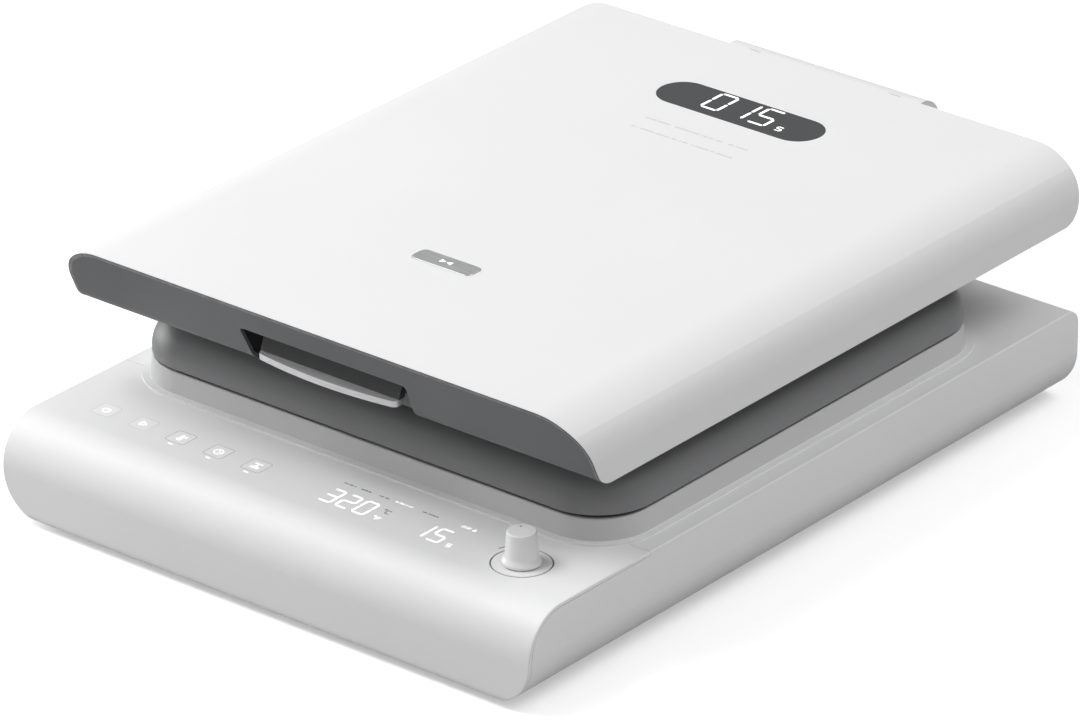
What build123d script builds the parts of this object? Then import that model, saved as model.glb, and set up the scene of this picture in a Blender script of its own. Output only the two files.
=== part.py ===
from build123d import *
import math
import os

# Automatic clamshell heat press, closed and pressing.
# Millimetres, +Z up, the front with its control panel faces -Y, the lid hinge is at +Y.
# Places are worked out about the middle of the base. Each piece is then moved so that
# the origin lies on the floor, in the middle of the area that the whole press covers.

os.makedirs("parts", exist_ok=True)

# Base housing
base_width = 445.0
base_depth = 587.0
base_top = 69.5
foot_height = 4.0
shell_wall = 2.5
front_top_radius = 32.0
front_bottom_radius = 5.0
rear_top_radius = 12.0
side_bottom_radius = 33.0
seam_gap = 0.4
fit_gap = 0.3
cover_depth = 121.5
side_round = 0.9
underside_cut = 0.3

# Lower platform with its silicone pad
platform_size = 410.0
platform_corner = 42.0
platform_height = 16.0
platform_draft_deg = 8.0
platform_y = 12.0
flange_reach = 5.0
flange_height = 1.2
pad_thickness = 2.5
pad_inset = 4.0
pad_plate_thickness = 2.0
rib_thickness = 3.0
rib_pitch = 60.0
rib_window = 36.0
rib_window_pitch = 120.0

# Upper platen
plate_size = 381.0
plate_corner = 12.0
plate_thickness = 6.0
press_gap = 0.2
platen_casing_size = 408.0
platen_casing_height = 25.4
platen_casing_round = 21.5
press_travel = 6.0
element_height = 7.0
element_width = 8.0
element_runs = 6
element_pitch = 52.0
element_reach = 150.0
element_turn = 20.0
carrier_thickness = 3.0
pillar_spread = 344.0
carrier_rib_x = 70.0
insulation_thickness = 3.0

# Lid
lid_height = 49.3
lid_lift = 18.2
lid_width = 439.0
lid_depth = 533.4
lid_rear_inset = 0.1
lid_front_slope = 0.47
lid_round_x = 36.0
lid_round_z = 31.0
lid_front_corner = 14.0
lid_rear_corner = 15.0
belly_depth = 10.5
belly_width = 320.0
belly_front_inset = 45.0
belly_rear_inset = 78.4
belly_corner = 30.0
belly_edge_round = 7.0
belly_flange = 6.0
belly_flange_thickness = 1.5

# Rear hinge
hinge_overhang = 8.5
hinge_rise = 26.0
barrel_radius = 20.0
barrel_half = 82.0
tower_lean = 64.0
tower_foot_depth = 42.0
hinge_shaft_diameter = 12.0
running_gap = 0.05
cheek_end_gap = 8.0
cheek_spacing = 32.0
cheek_thickness = 4.0
shaft_end_gap = 3.5
bracket_hole_radius = 9.0
bracket_hole_ahead = 32.0
bracket_hole_drop = 48.0
arm_offset = 14.0
arm_thickness = 8.0
arm_eye_radius = 13.0
arm_length = 97.0
arm_knee = 52.0
arm_knee_rise = 14.0
arm_foot_height = 6.0
slot_reach = 48.0
slot_rise = 30.0

# Press drive in the lid
frame_thickness = 3.0
frame_lift = 5.5
frame_side_gap = 32.5
frame_corner = 18.0
frame_front_inset = 58.0
frame_window = 52.0
frame_window_x = 130.0
frame_window_y = 71.0
screw_diameter = 12.0
gear_module = 1.5
drive_teeth = 45
pinion_teeth = 15
gear_width = 8.0
gear_backlash = 0.12
motor_diameter = 56.0
motor_clearance = 2.0
drive_headroom = 5.8
post_diameter = 12.0
post_spread = 250.0

# Front release handle
handle_half = 58.0
recess_half = 70.0
recess_drop = 20.7
handle_pivot_back = 20.0
handle_pin_diameter = 5.0
lip_drop = 36.8
lip_thickness = 4.2
lip_bow = 5.2
lip_reach = 3.0
lip_corner = 4.0
lip_groove = 1.0
lip_groove_depth = 0.8
spring_wire = 1.2

# Start button and lid display
button_length = 50.0
button_width = 16.0
button_from_front = 135.0
button_travel = 0.8
button_proud = 0.5
window_length = 135.0
window_width = 38.0
window_from_rear = 87.4
window_thickness = 1.6
lid_digit_pitch = 19.9

# Control panel
key_from_side = 42.0
key_pitch = 32.5
key_count = 5
touch_radius = 5.0
panel_from_front = 56.5
knob_from_side = 53.5
knob_from_front = 58.5
knob_diameter = 20.0
knob_collar_diameter = 26.0
knob_top_rise = 23.0
knob_lift = 1.0
knob_ring_diameter = 40.0
knob_push = 0.5
board_thickness = 1.6
board_drop = 8.0
board_side_gap = 17.5
board_half_depth = 26.0
board_boss_y = 20.0

# Rear connections
inlet_from_side = 82.5
inlet_rise = 30.0
rocker_spacing = 45.0

# Derived heights and places
half_w = base_width / 2
half_d = base_depth / 2
hinge_y = half_d + hinge_overhang
origin_y = (hinge_y + barrel_radius - half_d) / 2
cover_seam_y = cover_depth - half_d
panel_y = panel_from_front - half_d
knob_x = half_w - knob_from_side
knob_y = knob_from_front - half_d
key_first_x = key_from_side - half_w
tower_foot_front = hinge_y - tower_lean
tower_foot_rear = tower_foot_front + tower_foot_depth
cheek_outer_x = barrel_half - cheek_end_gap
cheek_inner_x = cheek_outer_x - cheek_spacing
arm_x = cheek_outer_x - arm_offset
arm_foot_y = hinge_y - arm_length
shaft_half = barrel_half - shaft_end_gap
pan_top = foot_height + shell_wall + 2.0
platform_top = base_top + platform_height
pad_top = platform_top + pad_thickness
plate_bottom = pad_top + press_gap
plate_top = plate_bottom + plate_thickness
casing_bottom = pad_top + seam_gap
casing_top = casing_bottom + platen_casing_height
insulation_bottom = plate_top + element_height
carrier_bottom = insulation_bottom + insulation_thickness
carrier_top = carrier_bottom + carrier_thickness
casing_roof = casing_top - shell_wall
lid_bottom = casing_top + lid_lift
lid_top = lid_bottom + lid_height
lid_half = lid_width / 2
lid_rear_y = half_d - lid_rear_inset
lid_front_y = lid_rear_y - lid_depth
lid_skin = lid_top - shell_wall
hinge_z = lid_bottom + hinge_rise
recess_top_z = lid_top - recess_drop
lip_top_z = lid_top - lip_drop
button_y = lid_front_y + button_from_front
window_y = lid_rear_y - window_from_rear
belly_front_y = lid_front_y + belly_front_inset
belly_rear_y = lid_rear_y - belly_rear_inset
belly_bottom = lid_bottom - belly_depth
under_top = lid_bottom + shell_wall
frame_bottom = under_top + frame_lift
frame_top = frame_bottom + frame_thickness
gear_distance = gear_module * (drive_teeth + pinion_teeth) / 2
gear_top = lid_skin - drive_headroom
gear_bottom = gear_top - gear_width
motor_height = gear_bottom - motor_clearance - frame_top


def save(name, shape):
    """Writes one piece, moved to the origin of the whole press."""
    export_step(Pos(0, -origin_y, 0) * shape, f"parts/{name}.step")


def rounded_face(corners):
    """Closed flat face from (x, y, radius) corners. A radius of 0 leaves a sharp corner."""
    ends = []
    for index, (x, y, radius) in enumerate(corners):
        here = Vector(x, y)
        before = (Vector(*corners[index - 1][:2]) - here).normalized()
        after = (Vector(*corners[(index + 1) % len(corners)][:2]) - here).normalized()
        if radius == 0:
            ends.append((here, None, here))
            continue
        half = math.radians(before.get_angle(after)) / 2
        reach = radius / math.tan(half)
        middle = here + (before + after).normalized() * (radius / math.sin(half) - radius)
        ends.append((here + before * reach, middle, here + after * reach))
    edges = []
    for index, (start, middle, end) in enumerate(ends):
        if middle is not None:
            edges.append(ThreePointArc(start, middle, end))
        following = ends[(index + 1) % len(ends)][0]
        if (following - end).length > 1e-6:
            edges.append(Line(end, following))
    return Face(Wire(edges))


def along_x(face, low, high):
    """Carries a (y, z) outline along X, from low to high."""
    return Pos(low, 0, 0) * extrude(Plane.YZ * face, high - low, dir=(1, 0, 0))


def along_y(face, low, high):
    """Carries an (x, z) outline along Y, from low to high."""
    return Pos(0, low, 0) * extrude(Plane.XZ * face, high - low, dir=(0, 1, 0))


def rounded_slab(size_x, size_y, corner, low, high, y=0.0):
    """Upright slab with rounded corners between two heights."""
    outline = rounded_face([(-size_x / 2, -size_y / 2, corner), (size_x / 2, -size_y / 2, corner),
                            (size_x / 2, size_y / 2, corner), (-size_x / 2, size_y / 2, corner)])
    return Pos(0, y, low) * extrude(outline, high - low)


def block(x_low, x_high, y_low, y_high, z_low, z_high):
    """Plain block between limits."""
    size = (x_high - x_low, y_high - y_low, z_high - z_low)
    return Pos((x_low + x_high) / 2, (y_low + y_high) / 2, (z_low + z_high) / 2) * Box(*size)


def disc(x, y, radius, low, high):
    """Upright cylinder between two heights."""
    return Pos(x, y, (low + high) / 2) * Cylinder(radius, high - low)


def rod_x(y, z, radius, low, high):
    """Cylinder along X between two limits."""
    return Pos((low + high) / 2, y, z) * Rot(0, 90, 0) * Cylinder(radius, high - low)


def revolved(points, x=0.0, y=0.0):
    """Turns a (radius, height) outline about an upright axis."""
    return Pos(x, y, 0) * revolve(Plane.XZ * rounded_face(points), Axis.Z)


# Base housing: one outer form, cut into its separate shells

def base_side(inset):
    """Side view of the housing, drawn in by inset."""
    low = foot_height - underside_cut + inset
    high = base_top - inset
    front = -half_d + inset
    rear = half_d - inset
    return rounded_face([(front, low, max(front_bottom_radius - inset, 1.0)),
                         (rear, low, max(front_bottom_radius - inset, 1.0)),
                         (rear, high, rear_top_radius - inset),
                         (front, high, front_top_radius - inset)])


def base_front(inset):
    """Front view of the housing, drawn in by inset."""
    side = half_w - inset
    low = foot_height - underside_cut + inset
    high = base_top - inset
    radius = side_bottom_radius - inset
    return rounded_face([(-side, low, radius), (side, low, radius), (side, high, 0), (-side, high, 0)])


def base_form(inset):
    """Whole housing as a solid, drawn in by inset, its rounds cut level just above their lowest line."""
    side_form = along_x(base_side(inset), -half_w, half_w)
    form = side_form & along_y(base_front(inset), -half_d, half_d)
    return form & block(-half_w, half_w, -half_d, half_d, foot_height + inset, base_top)


def softened(form):
    """Housing with the edges of its flat sides softly rounded, above the curve of its underside."""
    rims = [edge for edge in form.edges()
            if abs(abs(edge.center().X) - half_w) < 0.01 and edge.center().Z > base_top / 2 + side_round * 4]
    return fillet(rims, side_round)


def front_strip(extra):
    """Band of wall thickness over the front and the control panel."""
    inner = along_x(base_side(shell_wall + extra), -half_w, half_w)
    reach = block(-half_w, half_w, -half_d, cover_seam_y + extra, foot_height - 1, base_top)
    lower_cut = front_bottom_radius + 3.0 + extra
    under = block(-half_w, half_w, -half_d + lower_cut, 0, 0, foot_height + shell_wall + 1)
    return reach - inner - under


outer_form = softened(base_form(0))
base_shell = outer_form - base_form(shell_wall)
pan_x = half_w - side_bottom_radius - 6.0
pan_y = half_d - 16.0
pan_flange = 5.0
rear_x = half_w - side_bottom_radius
rear_low = foot_height + 10.0
rear_high = base_top - rear_top_radius - 6.0
deck_opening = platform_size - 40.0
inlet_x = half_w - inlet_from_side
inlet_z = foot_height + inlet_rise
rocker_x = inlet_x - rocker_spacing


def make_main_shell():
    """Deck and both sides in one wrap, open for the platform, the pan and the rear panel."""
    shell = base_shell - front_strip(seam_gap)
    shell -= rounded_slab(deck_opening, deck_opening, 30.0, base_top - 5, base_top + 5, platform_y)
    shell -= rounded_slab(2 * pan_x, 2 * pan_y, 10.0, 0, foot_height + shell_wall + 1)
    shell -= block(-rear_x, rear_x, half_d - shell_wall - 1, half_d + 1, rear_low, rear_high)
    shell -= block(-cheek_outer_x - 6, cheek_outer_x + 6, tower_foot_front + 3, tower_foot_rear - 3,
                   base_top - 5, base_top + 5)
    return shell


def make_front_cover():
    """Front face and control panel in one bent cover, with bosses for the control board."""
    cover = outer_form & front_strip(0)
    roof = base_top - shell_wall
    outer_boss = half_w - board_side_gap - 7.0
    for x in (-outer_boss, -outer_boss / 3, outer_boss / 3, outer_boss):
        for y in (panel_y - board_boss_y, panel_y + board_boss_y):
            cover += disc(x, y, 3.5, roof - board_drop, roof + 0.5)
    groove = disc(knob_x, knob_y, knob_ring_diameter / 2 + 0.6, base_top - 0.5, base_top + 1)
    groove -= disc(knob_x, knob_y, knob_ring_diameter / 2 - 0.6, base_top - 1, base_top + 2)
    cover -= groove
    cover -= disc(knob_x, knob_y, 4.7, roof - 5, base_top + 5)
    return cover


def make_bottom_pan():
    """Bottom pan: a plug in the opening, a flange inside, air slots and board stand-offs."""
    low = foot_height
    pan = rounded_slab(2 * (pan_x - fit_gap), 2 * (pan_y - fit_gap), 10.0, low, low + shell_wall)
    pan += rounded_slab(2 * (pan_x + pan_flange), 2 * (pan_y + pan_flange), 10.0,
                        low + shell_wall, pan_top)
    for row in range(8):
        for side in (-1, 1):
            pan -= block(side * 95 - 30, side * 95 + 30, -70 + row * 16, -65 + row * 16, 0, pan_top + 1)
    for x, y in foot_places():
        pan -= disc(x, y, foot_plug_radius, 0, pan_top + 1)
    for x, y in power_posts():
        pan += disc(x, y, 4.0, pan_top - 0.5, power_board_z)
    return pan


foot_plug_radius = 4.0
power_board_z = pan_top + 6.0
power_board_x = -60.0
power_board_length = 170.0
power_board_width = 56.0


def foot_places():
    """Middles of the four feet."""
    return [(x, y) for x in (-pan_x + 20, pan_x - 20) for y in (-pan_y + 24, pan_y - 24)]


def power_posts():
    """Places of the four stand-offs under the power board."""
    reach_x = power_board_length / 2 - 8
    reach_y = power_board_width / 2 - 8
    return [(power_board_x + sx * reach_x, panel_y + sy * reach_y) for sx in (-1, 1) for sy in (-1, 1)]


def make_feet():
    """Four rubber feet with a plug that snaps into the pan."""
    feet = []
    for x, y in foot_places():
        foot = revolved([(0, 0, 0), (10.5, 0, 0), (12.0, foot_height, 0), (foot_plug_radius, foot_height, 0),
                         (foot_plug_radius, pan_top + 1.5, 0), (0, pan_top + 1.5, 0)], x, y)
        feet.append(foot)
    return Compound(feet)


def make_rear_panel():
    """Rear panel with louvres, the mains inlet opening and the rocker opening."""
    outer = block(-rear_x + fit_gap, rear_x - fit_gap, half_d - shell_wall, half_d,
                  rear_low + fit_gap, rear_high - fit_gap)
    flange = block(-rear_x - 3, rear_x + 3, half_d - shell_wall - 2, half_d - shell_wall,
                   rear_low - 3, rear_high + 3)
    panel = outer + flange
    for row in range(5):
        z = rear_low + 8 + row * 6
        for x in (-110.0, -40.0):
            panel -= block(x - 28, x + 28, half_d - 8, half_d + 1, z, z + 2.5)
    panel -= block(inlet_x - 13.6, inlet_x + 13.6, half_d - 8, half_d + 1, inlet_z - 9.9, inlet_z + 9.9)
    panel -= block(rocker_x - 9.6, rocker_x + 9.6, half_d - 8, half_d + 1, inlet_z - 6.6, inlet_z + 6.6)
    return panel


def make_mains_inlet():
    """Three-pin appliance inlet: bezel, deep socket and its three blades."""
    face = half_d + 2.0
    body = block(inlet_x - 15.5, inlet_x + 15.5, half_d, face, inlet_z - 12, inlet_z + 12)
    body += block(inlet_x - 13.5, inlet_x + 13.5, half_d - 22, half_d, inlet_z - 9.8, inlet_z + 9.8)
    body -= block(inlet_x - 12, inlet_x + 12, half_d - 15, face + 1, inlet_z - 8, inlet_z + 8)
    for dx, dz in ((-7.0, -2.0), (7.0, -2.0), (0.0, 2.0)):
        body += block(inlet_x + dx - 1, inlet_x + dx + 1, half_d - 16, half_d - 1,
                      inlet_z + dz - 2, inlet_z + dz + 2)
    return body


rocker_axis_y = half_d - 6.0
rocker_rise = 9.0
rocker_tilt = 8.0


def make_rocker_frame():
    """Frame of the power switch, clipped into the rear panel."""
    frame = block(rocker_x - 11, rocker_x + 11, half_d, half_d + 1.6, inlet_z - 8, inlet_z + 8)
    frame += block(rocker_x - 9.5, rocker_x + 9.5, half_d - 18, half_d, inlet_z - 6.5, inlet_z + 6.5)
    frame -= block(rocker_x - 8.2, rocker_x + 8.2, half_d - 15, half_d + 3, inlet_z - 5.4, inlet_z + 5.4)
    frame += disc(rocker_x, rocker_axis_y, 1.5, inlet_z - 5.6, inlet_z + 5.6)
    return frame


def make_rocker():
    """Rocker cap on an upright pin, with its two ends raised like a shallow saddle."""
    low = inlet_z - 5.1
    high = inlet_z + 5.1
    outline = rounded_face([(-7.0, -4.0, 1.5), (7.0, -4.0, 1.5), (6.5, rocker_rise, 1.0),
                            (0, rocker_rise - 1.8, 6.0), (-6.5, rocker_rise, 1.0)])
    cap = Rot(0, 0, rocker_tilt) * (extrude(outline, high - low) - disc(0, 0, 1.5 + running_gap, -1, high))
    return Pos(rocker_x, rocker_axis_y, low) * cap


# Lower platform

def platform_half(z):
    """Half size of the drafted platform wall at a height."""
    return platform_size / 2 - (z - base_top) * math.tan(math.radians(platform_draft_deg))


def make_platform_casing():
    """Raised casing on the deck: low flange, drafted wall, and a seat for the pad plate."""
    flange = rounded_slab(platform_size + 2 * flange_reach, platform_size + 2 * flange_reach,
                          platform_corner + flange_reach, base_top, base_top + flange_height, platform_y)
    foot = rounded_face([(sx * platform_size / 2, sy * platform_size / 2, platform_corner)
                         for sx, sy in ((-1, -1), (1, -1), (1, 1), (-1, 1))])
    wall = Pos(0, platform_y, base_top) * extrude(foot, platform_height, taper=platform_draft_deg)
    casing = flange + fillet(wall.faces().sort_by(Axis.Z)[-1].edges(), 1.2)
    inner = 2 * (platform_half(platform_top) - shell_wall)
    roof = platform_top - pad_plate_thickness - shell_wall
    casing -= rounded_slab(inner, inner, platform_corner - 6, base_top - 1, roof, platform_y)
    seat = plate_seat_size + 2 * fit_gap
    casing -= rounded_slab(seat, seat, platform_corner - 8, platform_top - pad_plate_thickness,
                           platform_top + 1, platform_y)
    return casing


plate_seat_size = 2 * (platform_half(platform_top) - 8.0)


def make_pad_plate():
    """Flat aluminium plate under the pad, let into the casing."""
    return rounded_slab(plate_seat_size, plate_seat_size, platform_corner - 8,
                        platform_top - pad_plate_thickness, platform_top, platform_y)


def make_silicone_pad():
    """Silicone pressing pad whose edge shows as the dark band between the two halves."""
    size = 2 * (platform_half(platform_top)) - pad_inset
    return rounded_slab(size, size, platform_corner - 4, platform_top, pad_top, platform_y)


def make_platform_frame():
    """Grid of upright steel ribs that carries the platform down to the pan."""
    roof = platform_top - pad_plate_thickness - shell_wall
    reach = deck_opening / 2 - 14
    half_rib = rib_thickness / 2
    frame = block(-half_rib - reach, half_rib - reach, platform_y - reach, platform_y + reach, pan_top, roof)
    for x in (-rib_pitch, rib_pitch, reach):
        frame += block(x - half_rib, x + half_rib, platform_y - reach, platform_y + reach, pan_top, roof)
    for y in (-reach, -rib_pitch, rib_pitch, reach):
        frame += block(-reach, reach, platform_y + y - half_rib, platform_y + y + half_rib, pan_top, roof)
    for x in (-rib_window_pitch, 0.0, rib_window_pitch):
        frame -= block(x - rib_window / 2, x + rib_window / 2, platform_y - reach - 5, platform_y + reach + 5,
                       pan_top + 12, roof - 12)
    return frame


# Boards and controls under the panel

board_roof = base_top - shell_wall - board_drop


def make_control_board():
    """Long board under the panel, screwed to the cover's bosses."""
    reach = half_w - board_side_gap
    return block(-reach, reach, panel_y - board_half_depth, panel_y + board_half_depth,
                 board_roof - board_thickness, board_roof)


digit_places = (15.2, 28.8, 43.2, 95.7, 104.8)
digit_half = 4.3
light_margin = 7.0


def make_panel_display():
    """Light module under the skin of the panel, with one well for each digit that shines through."""
    skin = base_top - shell_wall
    left = digit_places[0] - digit_half - light_margin
    right = digit_places[-1] + digit_half + light_margin
    housing = block(left, right, panel_y - 14, panel_y + 14, board_roof, skin)
    for x in digit_places:
        housing -= block(x - digit_half, x + digit_half, panel_y - 10, panel_y + 10, skin - 3, skin + 1)
    return housing


def make_touch_springs():
    """Five round contact pads between the board and the skin, one behind each key."""
    skin = base_top - shell_wall
    places = [key_first_x + index * key_pitch for index in range(key_count)]
    return Compound([disc(x, panel_y, touch_radius, board_roof, skin) for x in places])


def make_encoder():
    """Rotary encoder: square body on the board and a threaded neck through the panel."""
    body = block(knob_x - 6.5, knob_x + 6.5, knob_y - 6.5, knob_y + 6.5, board_roof, board_roof + 6.5)
    neck = disc(knob_x, knob_y, 4.5, board_roof + 6, base_top + 3)
    bore = disc(knob_x, knob_y, 3.0 + running_gap, board_roof + 1, base_top + 4)
    return body + neck - bore


def make_encoder_plunger():
    """Small switch plunger at the bottom of the encoder's bore."""
    return disc(knob_x, knob_y, 2.6, board_roof + 1 + knob_push + 0.2, board_roof + 3.2)


def make_encoder_shaft():
    """Flatted shaft that carries the knob."""
    shaft = disc(knob_x, knob_y, 3.0, board_roof + 3.2, base_top + knob_top_rise - 5)
    flat = block(knob_x - 4, knob_x + 4, knob_y + 1.6, knob_y + 4, base_top + 7, base_top + knob_top_rise)
    return shaft - flat


def make_knob():
    """Turned knob: flared collar, slightly tapered grip, softly rounded rim and a marker pit."""
    low = base_top + knob_lift
    top = base_top + knob_top_rise
    grip = knob_diameter / 2
    collar = knob_collar_diameter / 2
    outline = [(0, low, 0), (collar, low, 0), (collar, low + 1.6, 0), (grip + 1.0, low + 4.4, 2.5),
               (grip - 0.3, top, 1.0), (0, top, 0)]
    knob = revolved(outline, knob_x, knob_y)
    hollow = disc(knob_x, knob_y, 4.9, low - 1, base_top + 5)
    knob = knob - hollow - disc(knob_x, knob_y, 3.0, base_top + 4, top - 5)
    knob += block(knob_x - 2.6, knob_x + 2.6, knob_y + 1.6, knob_y + 3.0, base_top + 7, top - 5)
    return knob - disc(knob_x - 4.2, knob_y + 4.2, 0.9, top - 0.6, top + 1)


def make_power_board():
    """Power board on its stand-offs."""
    return block(power_board_x - power_board_length / 2, power_board_x + power_board_length / 2,
                 panel_y - power_board_width / 2, panel_y + power_board_width / 2,
                 power_board_z, power_board_z + board_thickness)


transformer_size = (32.0, 28.0, 24.0)
relay_size = (18.0, 20.0, 16.0)
sink_size = (36.0, 32.0, 22.0)
sink_floor = 4.0
fin_count = 6
fin_thickness = 1.6
capacitor_radius = 9.0
capacitor_height = 25.0
part_gap = 8.0


def board_part(left, size):
    """Block standing on the power board, from its left side and its (length, width, height)."""
    top = power_board_z + board_thickness
    return block(left, left + size[0], panel_y - size[1] / 2, panel_y + size[1] / 2, top, top + size[2])


def make_power_parts():
    """Transformer, relay, finned heat sink and a capacitor in a row on the power board."""
    transformer_x = power_board_x - power_board_length / 2 + part_gap
    relay_x = transformer_x + transformer_size[0] + part_gap
    sink_x = relay_x + relay_size[0] + part_gap
    capacitor_x = sink_x + sink_size[0] + part_gap + capacitor_radius
    sink = board_part(sink_x, (sink_size[0], sink_size[1], sink_floor))
    for fin in range(fin_count):
        shift = (fin / (fin_count - 1) - 0.5) * (sink_size[1] - fin_thickness)
        sink += Pos(0, shift, 0) * board_part(sink_x, (sink_size[0], fin_thickness, sink_size[2]))
    top = power_board_z + board_thickness
    capacitor = disc(capacitor_x, panel_y, capacitor_radius, top, top + capacitor_height)
    transformer = board_part(transformer_x, transformer_size)
    relay = board_part(relay_x, relay_size)
    return Compound([transformer, relay, sink, capacitor])


# Rear hinge tower

def tangent_point(y, z, radius, side):
    """Point where a line from (y, z) touches the hinge barrel, on its front (+1) or rear (-1)."""
    dy = hinge_y - y
    dz = hinge_z - z
    away = math.hypot(dy, dz)
    angle = math.atan2(dz, dy) + side * math.asin(radius / away)
    run = math.sqrt(away**2 - radius**2)
    return (y + run * math.cos(angle), z + run * math.sin(angle))


def tower_face(inset, floor):
    """Side view of the tower: a leaning neck that runs tangent into the hinge barrel."""
    radius = barrel_radius - inset
    front = (tower_foot_front + inset, floor)
    rear = (tower_foot_rear - inset, floor)
    touch_front = tangent_point(*front, radius, 1)
    touch_rear = tangent_point(*rear, radius, -1)
    crown = (hinge_y + radius * math.cos(math.radians(60)), hinge_z + radius * math.sin(math.radians(60)))
    edges = [Line(rear, touch_rear), ThreePointArc(touch_rear, crown, touch_front),
             Line(touch_front, front), Line(front, rear)]
    return Face(Wire(edges))


def tower_front_side(shift):
    """Everything in front of the joint between the tower's two covers."""
    ahead = tower_foot_front - 40
    above = hinge_z + barrel_radius + 10
    joint_foot = tower_foot_front + tower_foot_depth * 0.57
    face = rounded_face([(ahead, base_top - 10, 0), (joint_foot + shift, base_top - 10, 0),
                         (hinge_y + 4 + shift, above, 0), (ahead, above, 0)])
    return along_x(face, -barrel_half - 5, barrel_half + 5)


def arm_slot(x):
    """Space that a lid arm sweeps through the tower's front cover."""
    half = arm_thickness / 2 + 0.8
    top = math.radians(100)
    reach = 2 * barrel_radius
    ahead = hinge_y - slot_reach
    below = hinge_z - arm_eye_radius - 4
    face = rounded_face([(hinge_y + 8, below, 0),
                         (hinge_y + reach * math.cos(top), hinge_z + reach * math.sin(top), 0),
                         (ahead, hinge_z + slot_rise, 0), (ahead, below, 0)])
    return along_x(face, x - half, x + half)


def tower_shell():
    """Both covers of the tower in one, hollow and open below."""
    shell = along_x(tower_face(0, base_top), -barrel_half, barrel_half)
    inner = along_x(tower_face(shell_wall, base_top - 1), -barrel_half + shell_wall, barrel_half - shell_wall)
    return shell - inner - arm_slot(arm_x) - arm_slot(-arm_x)


def make_tower_front_cover():
    """Front cover of the tower, slotted for the two lid arms."""
    return tower_shell() & tower_front_side(0)


def make_tower_rear_cover():
    """Rear cover of the tower with most of the barrel."""
    return tower_shell() - tower_front_side(seam_gap)


def make_hinge_bracket():
    """Steel bracket: four cheeks from the pan up to the shaft, on one foot plate."""
    inset = shell_wall + 0.5
    cheek_face = tower_face(inset, base_top)
    lower = rounded_face([(tower_foot_front + inset + 3, pan_top, 0),
                          (tower_foot_rear - inset - 3, pan_top, 0),
                          (tower_foot_rear - inset - 3, base_top + 2, 0),
                          (tower_foot_front + inset + 3, base_top + 2, 0)])
    bracket = block(-cheek_outer_x - 2, cheek_outer_x + 2, tower_foot_front + inset + 3,
                    tower_foot_rear - inset - 3, pan_top, pan_top + 4)
    for x in (-cheek_outer_x, -cheek_inner_x, cheek_inner_x, cheek_outer_x):
        low = x - cheek_thickness / 2
        high = x + cheek_thickness / 2
        bracket += along_x(cheek_face, low, high) + along_x(lower, low, high)
        bracket -= rod_x(hinge_y, hinge_z, bush_radius, low - 1, high + 1)
        bracket -= rod_x(hinge_y - bracket_hole_ahead, hinge_z - bracket_hole_drop, bracket_hole_radius,
                         low - 1, high + 1)
    return bracket


bush_radius = hinge_shaft_diameter / 2 + 2.0


def make_hinge_bushes():
    """Four flanged bronze bushes in the cheeks."""
    bushes = []
    for side in (-1, 1):
        for x, outward in ((cheek_inner_x, -1), (cheek_outer_x, 1)):
            middle = side * x
            half = cheek_thickness / 2
            sleeve = rod_x(hinge_y, hinge_z, bush_radius, middle - half, middle + half)
            start = middle + side * outward * half
            end = start + side * outward * 1.5
            flange = rod_x(hinge_y, hinge_z, bush_radius + 2, min(start, end), max(start, end))
            bore = rod_x(hinge_y, hinge_z, hinge_shaft_diameter / 2 + running_gap, middle - 9, middle + 9)
            bushes.append(sleeve + flange - bore)
    return Compound(bushes)


def make_hinge_shaft():
    """Hinge shaft, turned with the lid arms."""
    return rod_x(hinge_y, hinge_z, hinge_shaft_diameter / 2, -shaft_half, shaft_half)


def make_lid_arms():
    """Two steel arms: an eye on the hinge shaft and a long foot on the lid frame."""
    arms = []
    for side in (-1, 1):
        neck = hinge_y - arm_eye_radius - 1
        face = rounded_face([(arm_foot_y, frame_top, 0), (hinge_y - 36, frame_top, 8),
                             (neck, hinge_z - arm_eye_radius + 1, 3),
                             (hinge_y + 2, hinge_z - arm_eye_radius + 1, 0),
                             (hinge_y + 2, hinge_z + arm_eye_radius - 2, 0), (neck, hinge_z + 6, 12),
                             (hinge_y - arm_knee, frame_top + arm_knee_rise, 30),
                             (arm_foot_y, frame_top + arm_foot_height, 3)])
        low = side * arm_x - arm_thickness / 2
        high = side * arm_x + arm_thickness / 2
        arm = along_x(face, low, high) + rod_x(hinge_y, hinge_z, arm_eye_radius, low, high)
        arms.append(arm - rod_x(hinge_y, hinge_z, hinge_shaft_diameter / 2, low - 1, high + 1))
    return Compound(arms)


# Upper platen, moved up and down by the drive

post_places = [(sx * post_spread / 2, platform_y + sy * post_spread / 2) for sx in (-1, 1) for sy in (-1, 1)]


def make_heat_plate():
    """Flat heated plate, softly rounded at its corners."""
    return rounded_slab(plate_size, plate_size, plate_corner, plate_bottom, plate_top, platform_y)


def make_heating_element():
    """Heating strip laid in even runs over the plate, joined by round turns."""
    points = []
    for run in range(element_runs):
        x = (run - (element_runs - 1) / 2) * element_pitch
        ends = [(x, -element_reach), (x, element_reach)]
        if run % 2:
            ends.reverse()
        points += ends
    height = plate_top + element_height / 2
    route = FilletPolyline(*[(x, y + platform_y, height) for x, y in points], radius=element_turn)
    start = Plane(origin=route @ 0, x_dir=(1, 0, 0), z_dir=route % 0)
    return sweep(start * Rectangle(element_width, element_height), path=route)


def make_insulation():
    """Mineral wool sheet over the element."""
    size = plate_size - 8
    sheet = rounded_slab(size, size, plate_corner, insulation_bottom, carrier_bottom, platform_y)
    for x, y in pillar_places:
        sheet -= disc(x, y, 8.5, insulation_bottom - 1, carrier_bottom + 1)
    return sheet


pillar_reach = pillar_spread / 2
pillar_places = [(sx * pillar_reach, platform_y + sy * pillar_reach) for sx in (-1, 0, 1) for sy in (-1, 1)]


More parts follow.
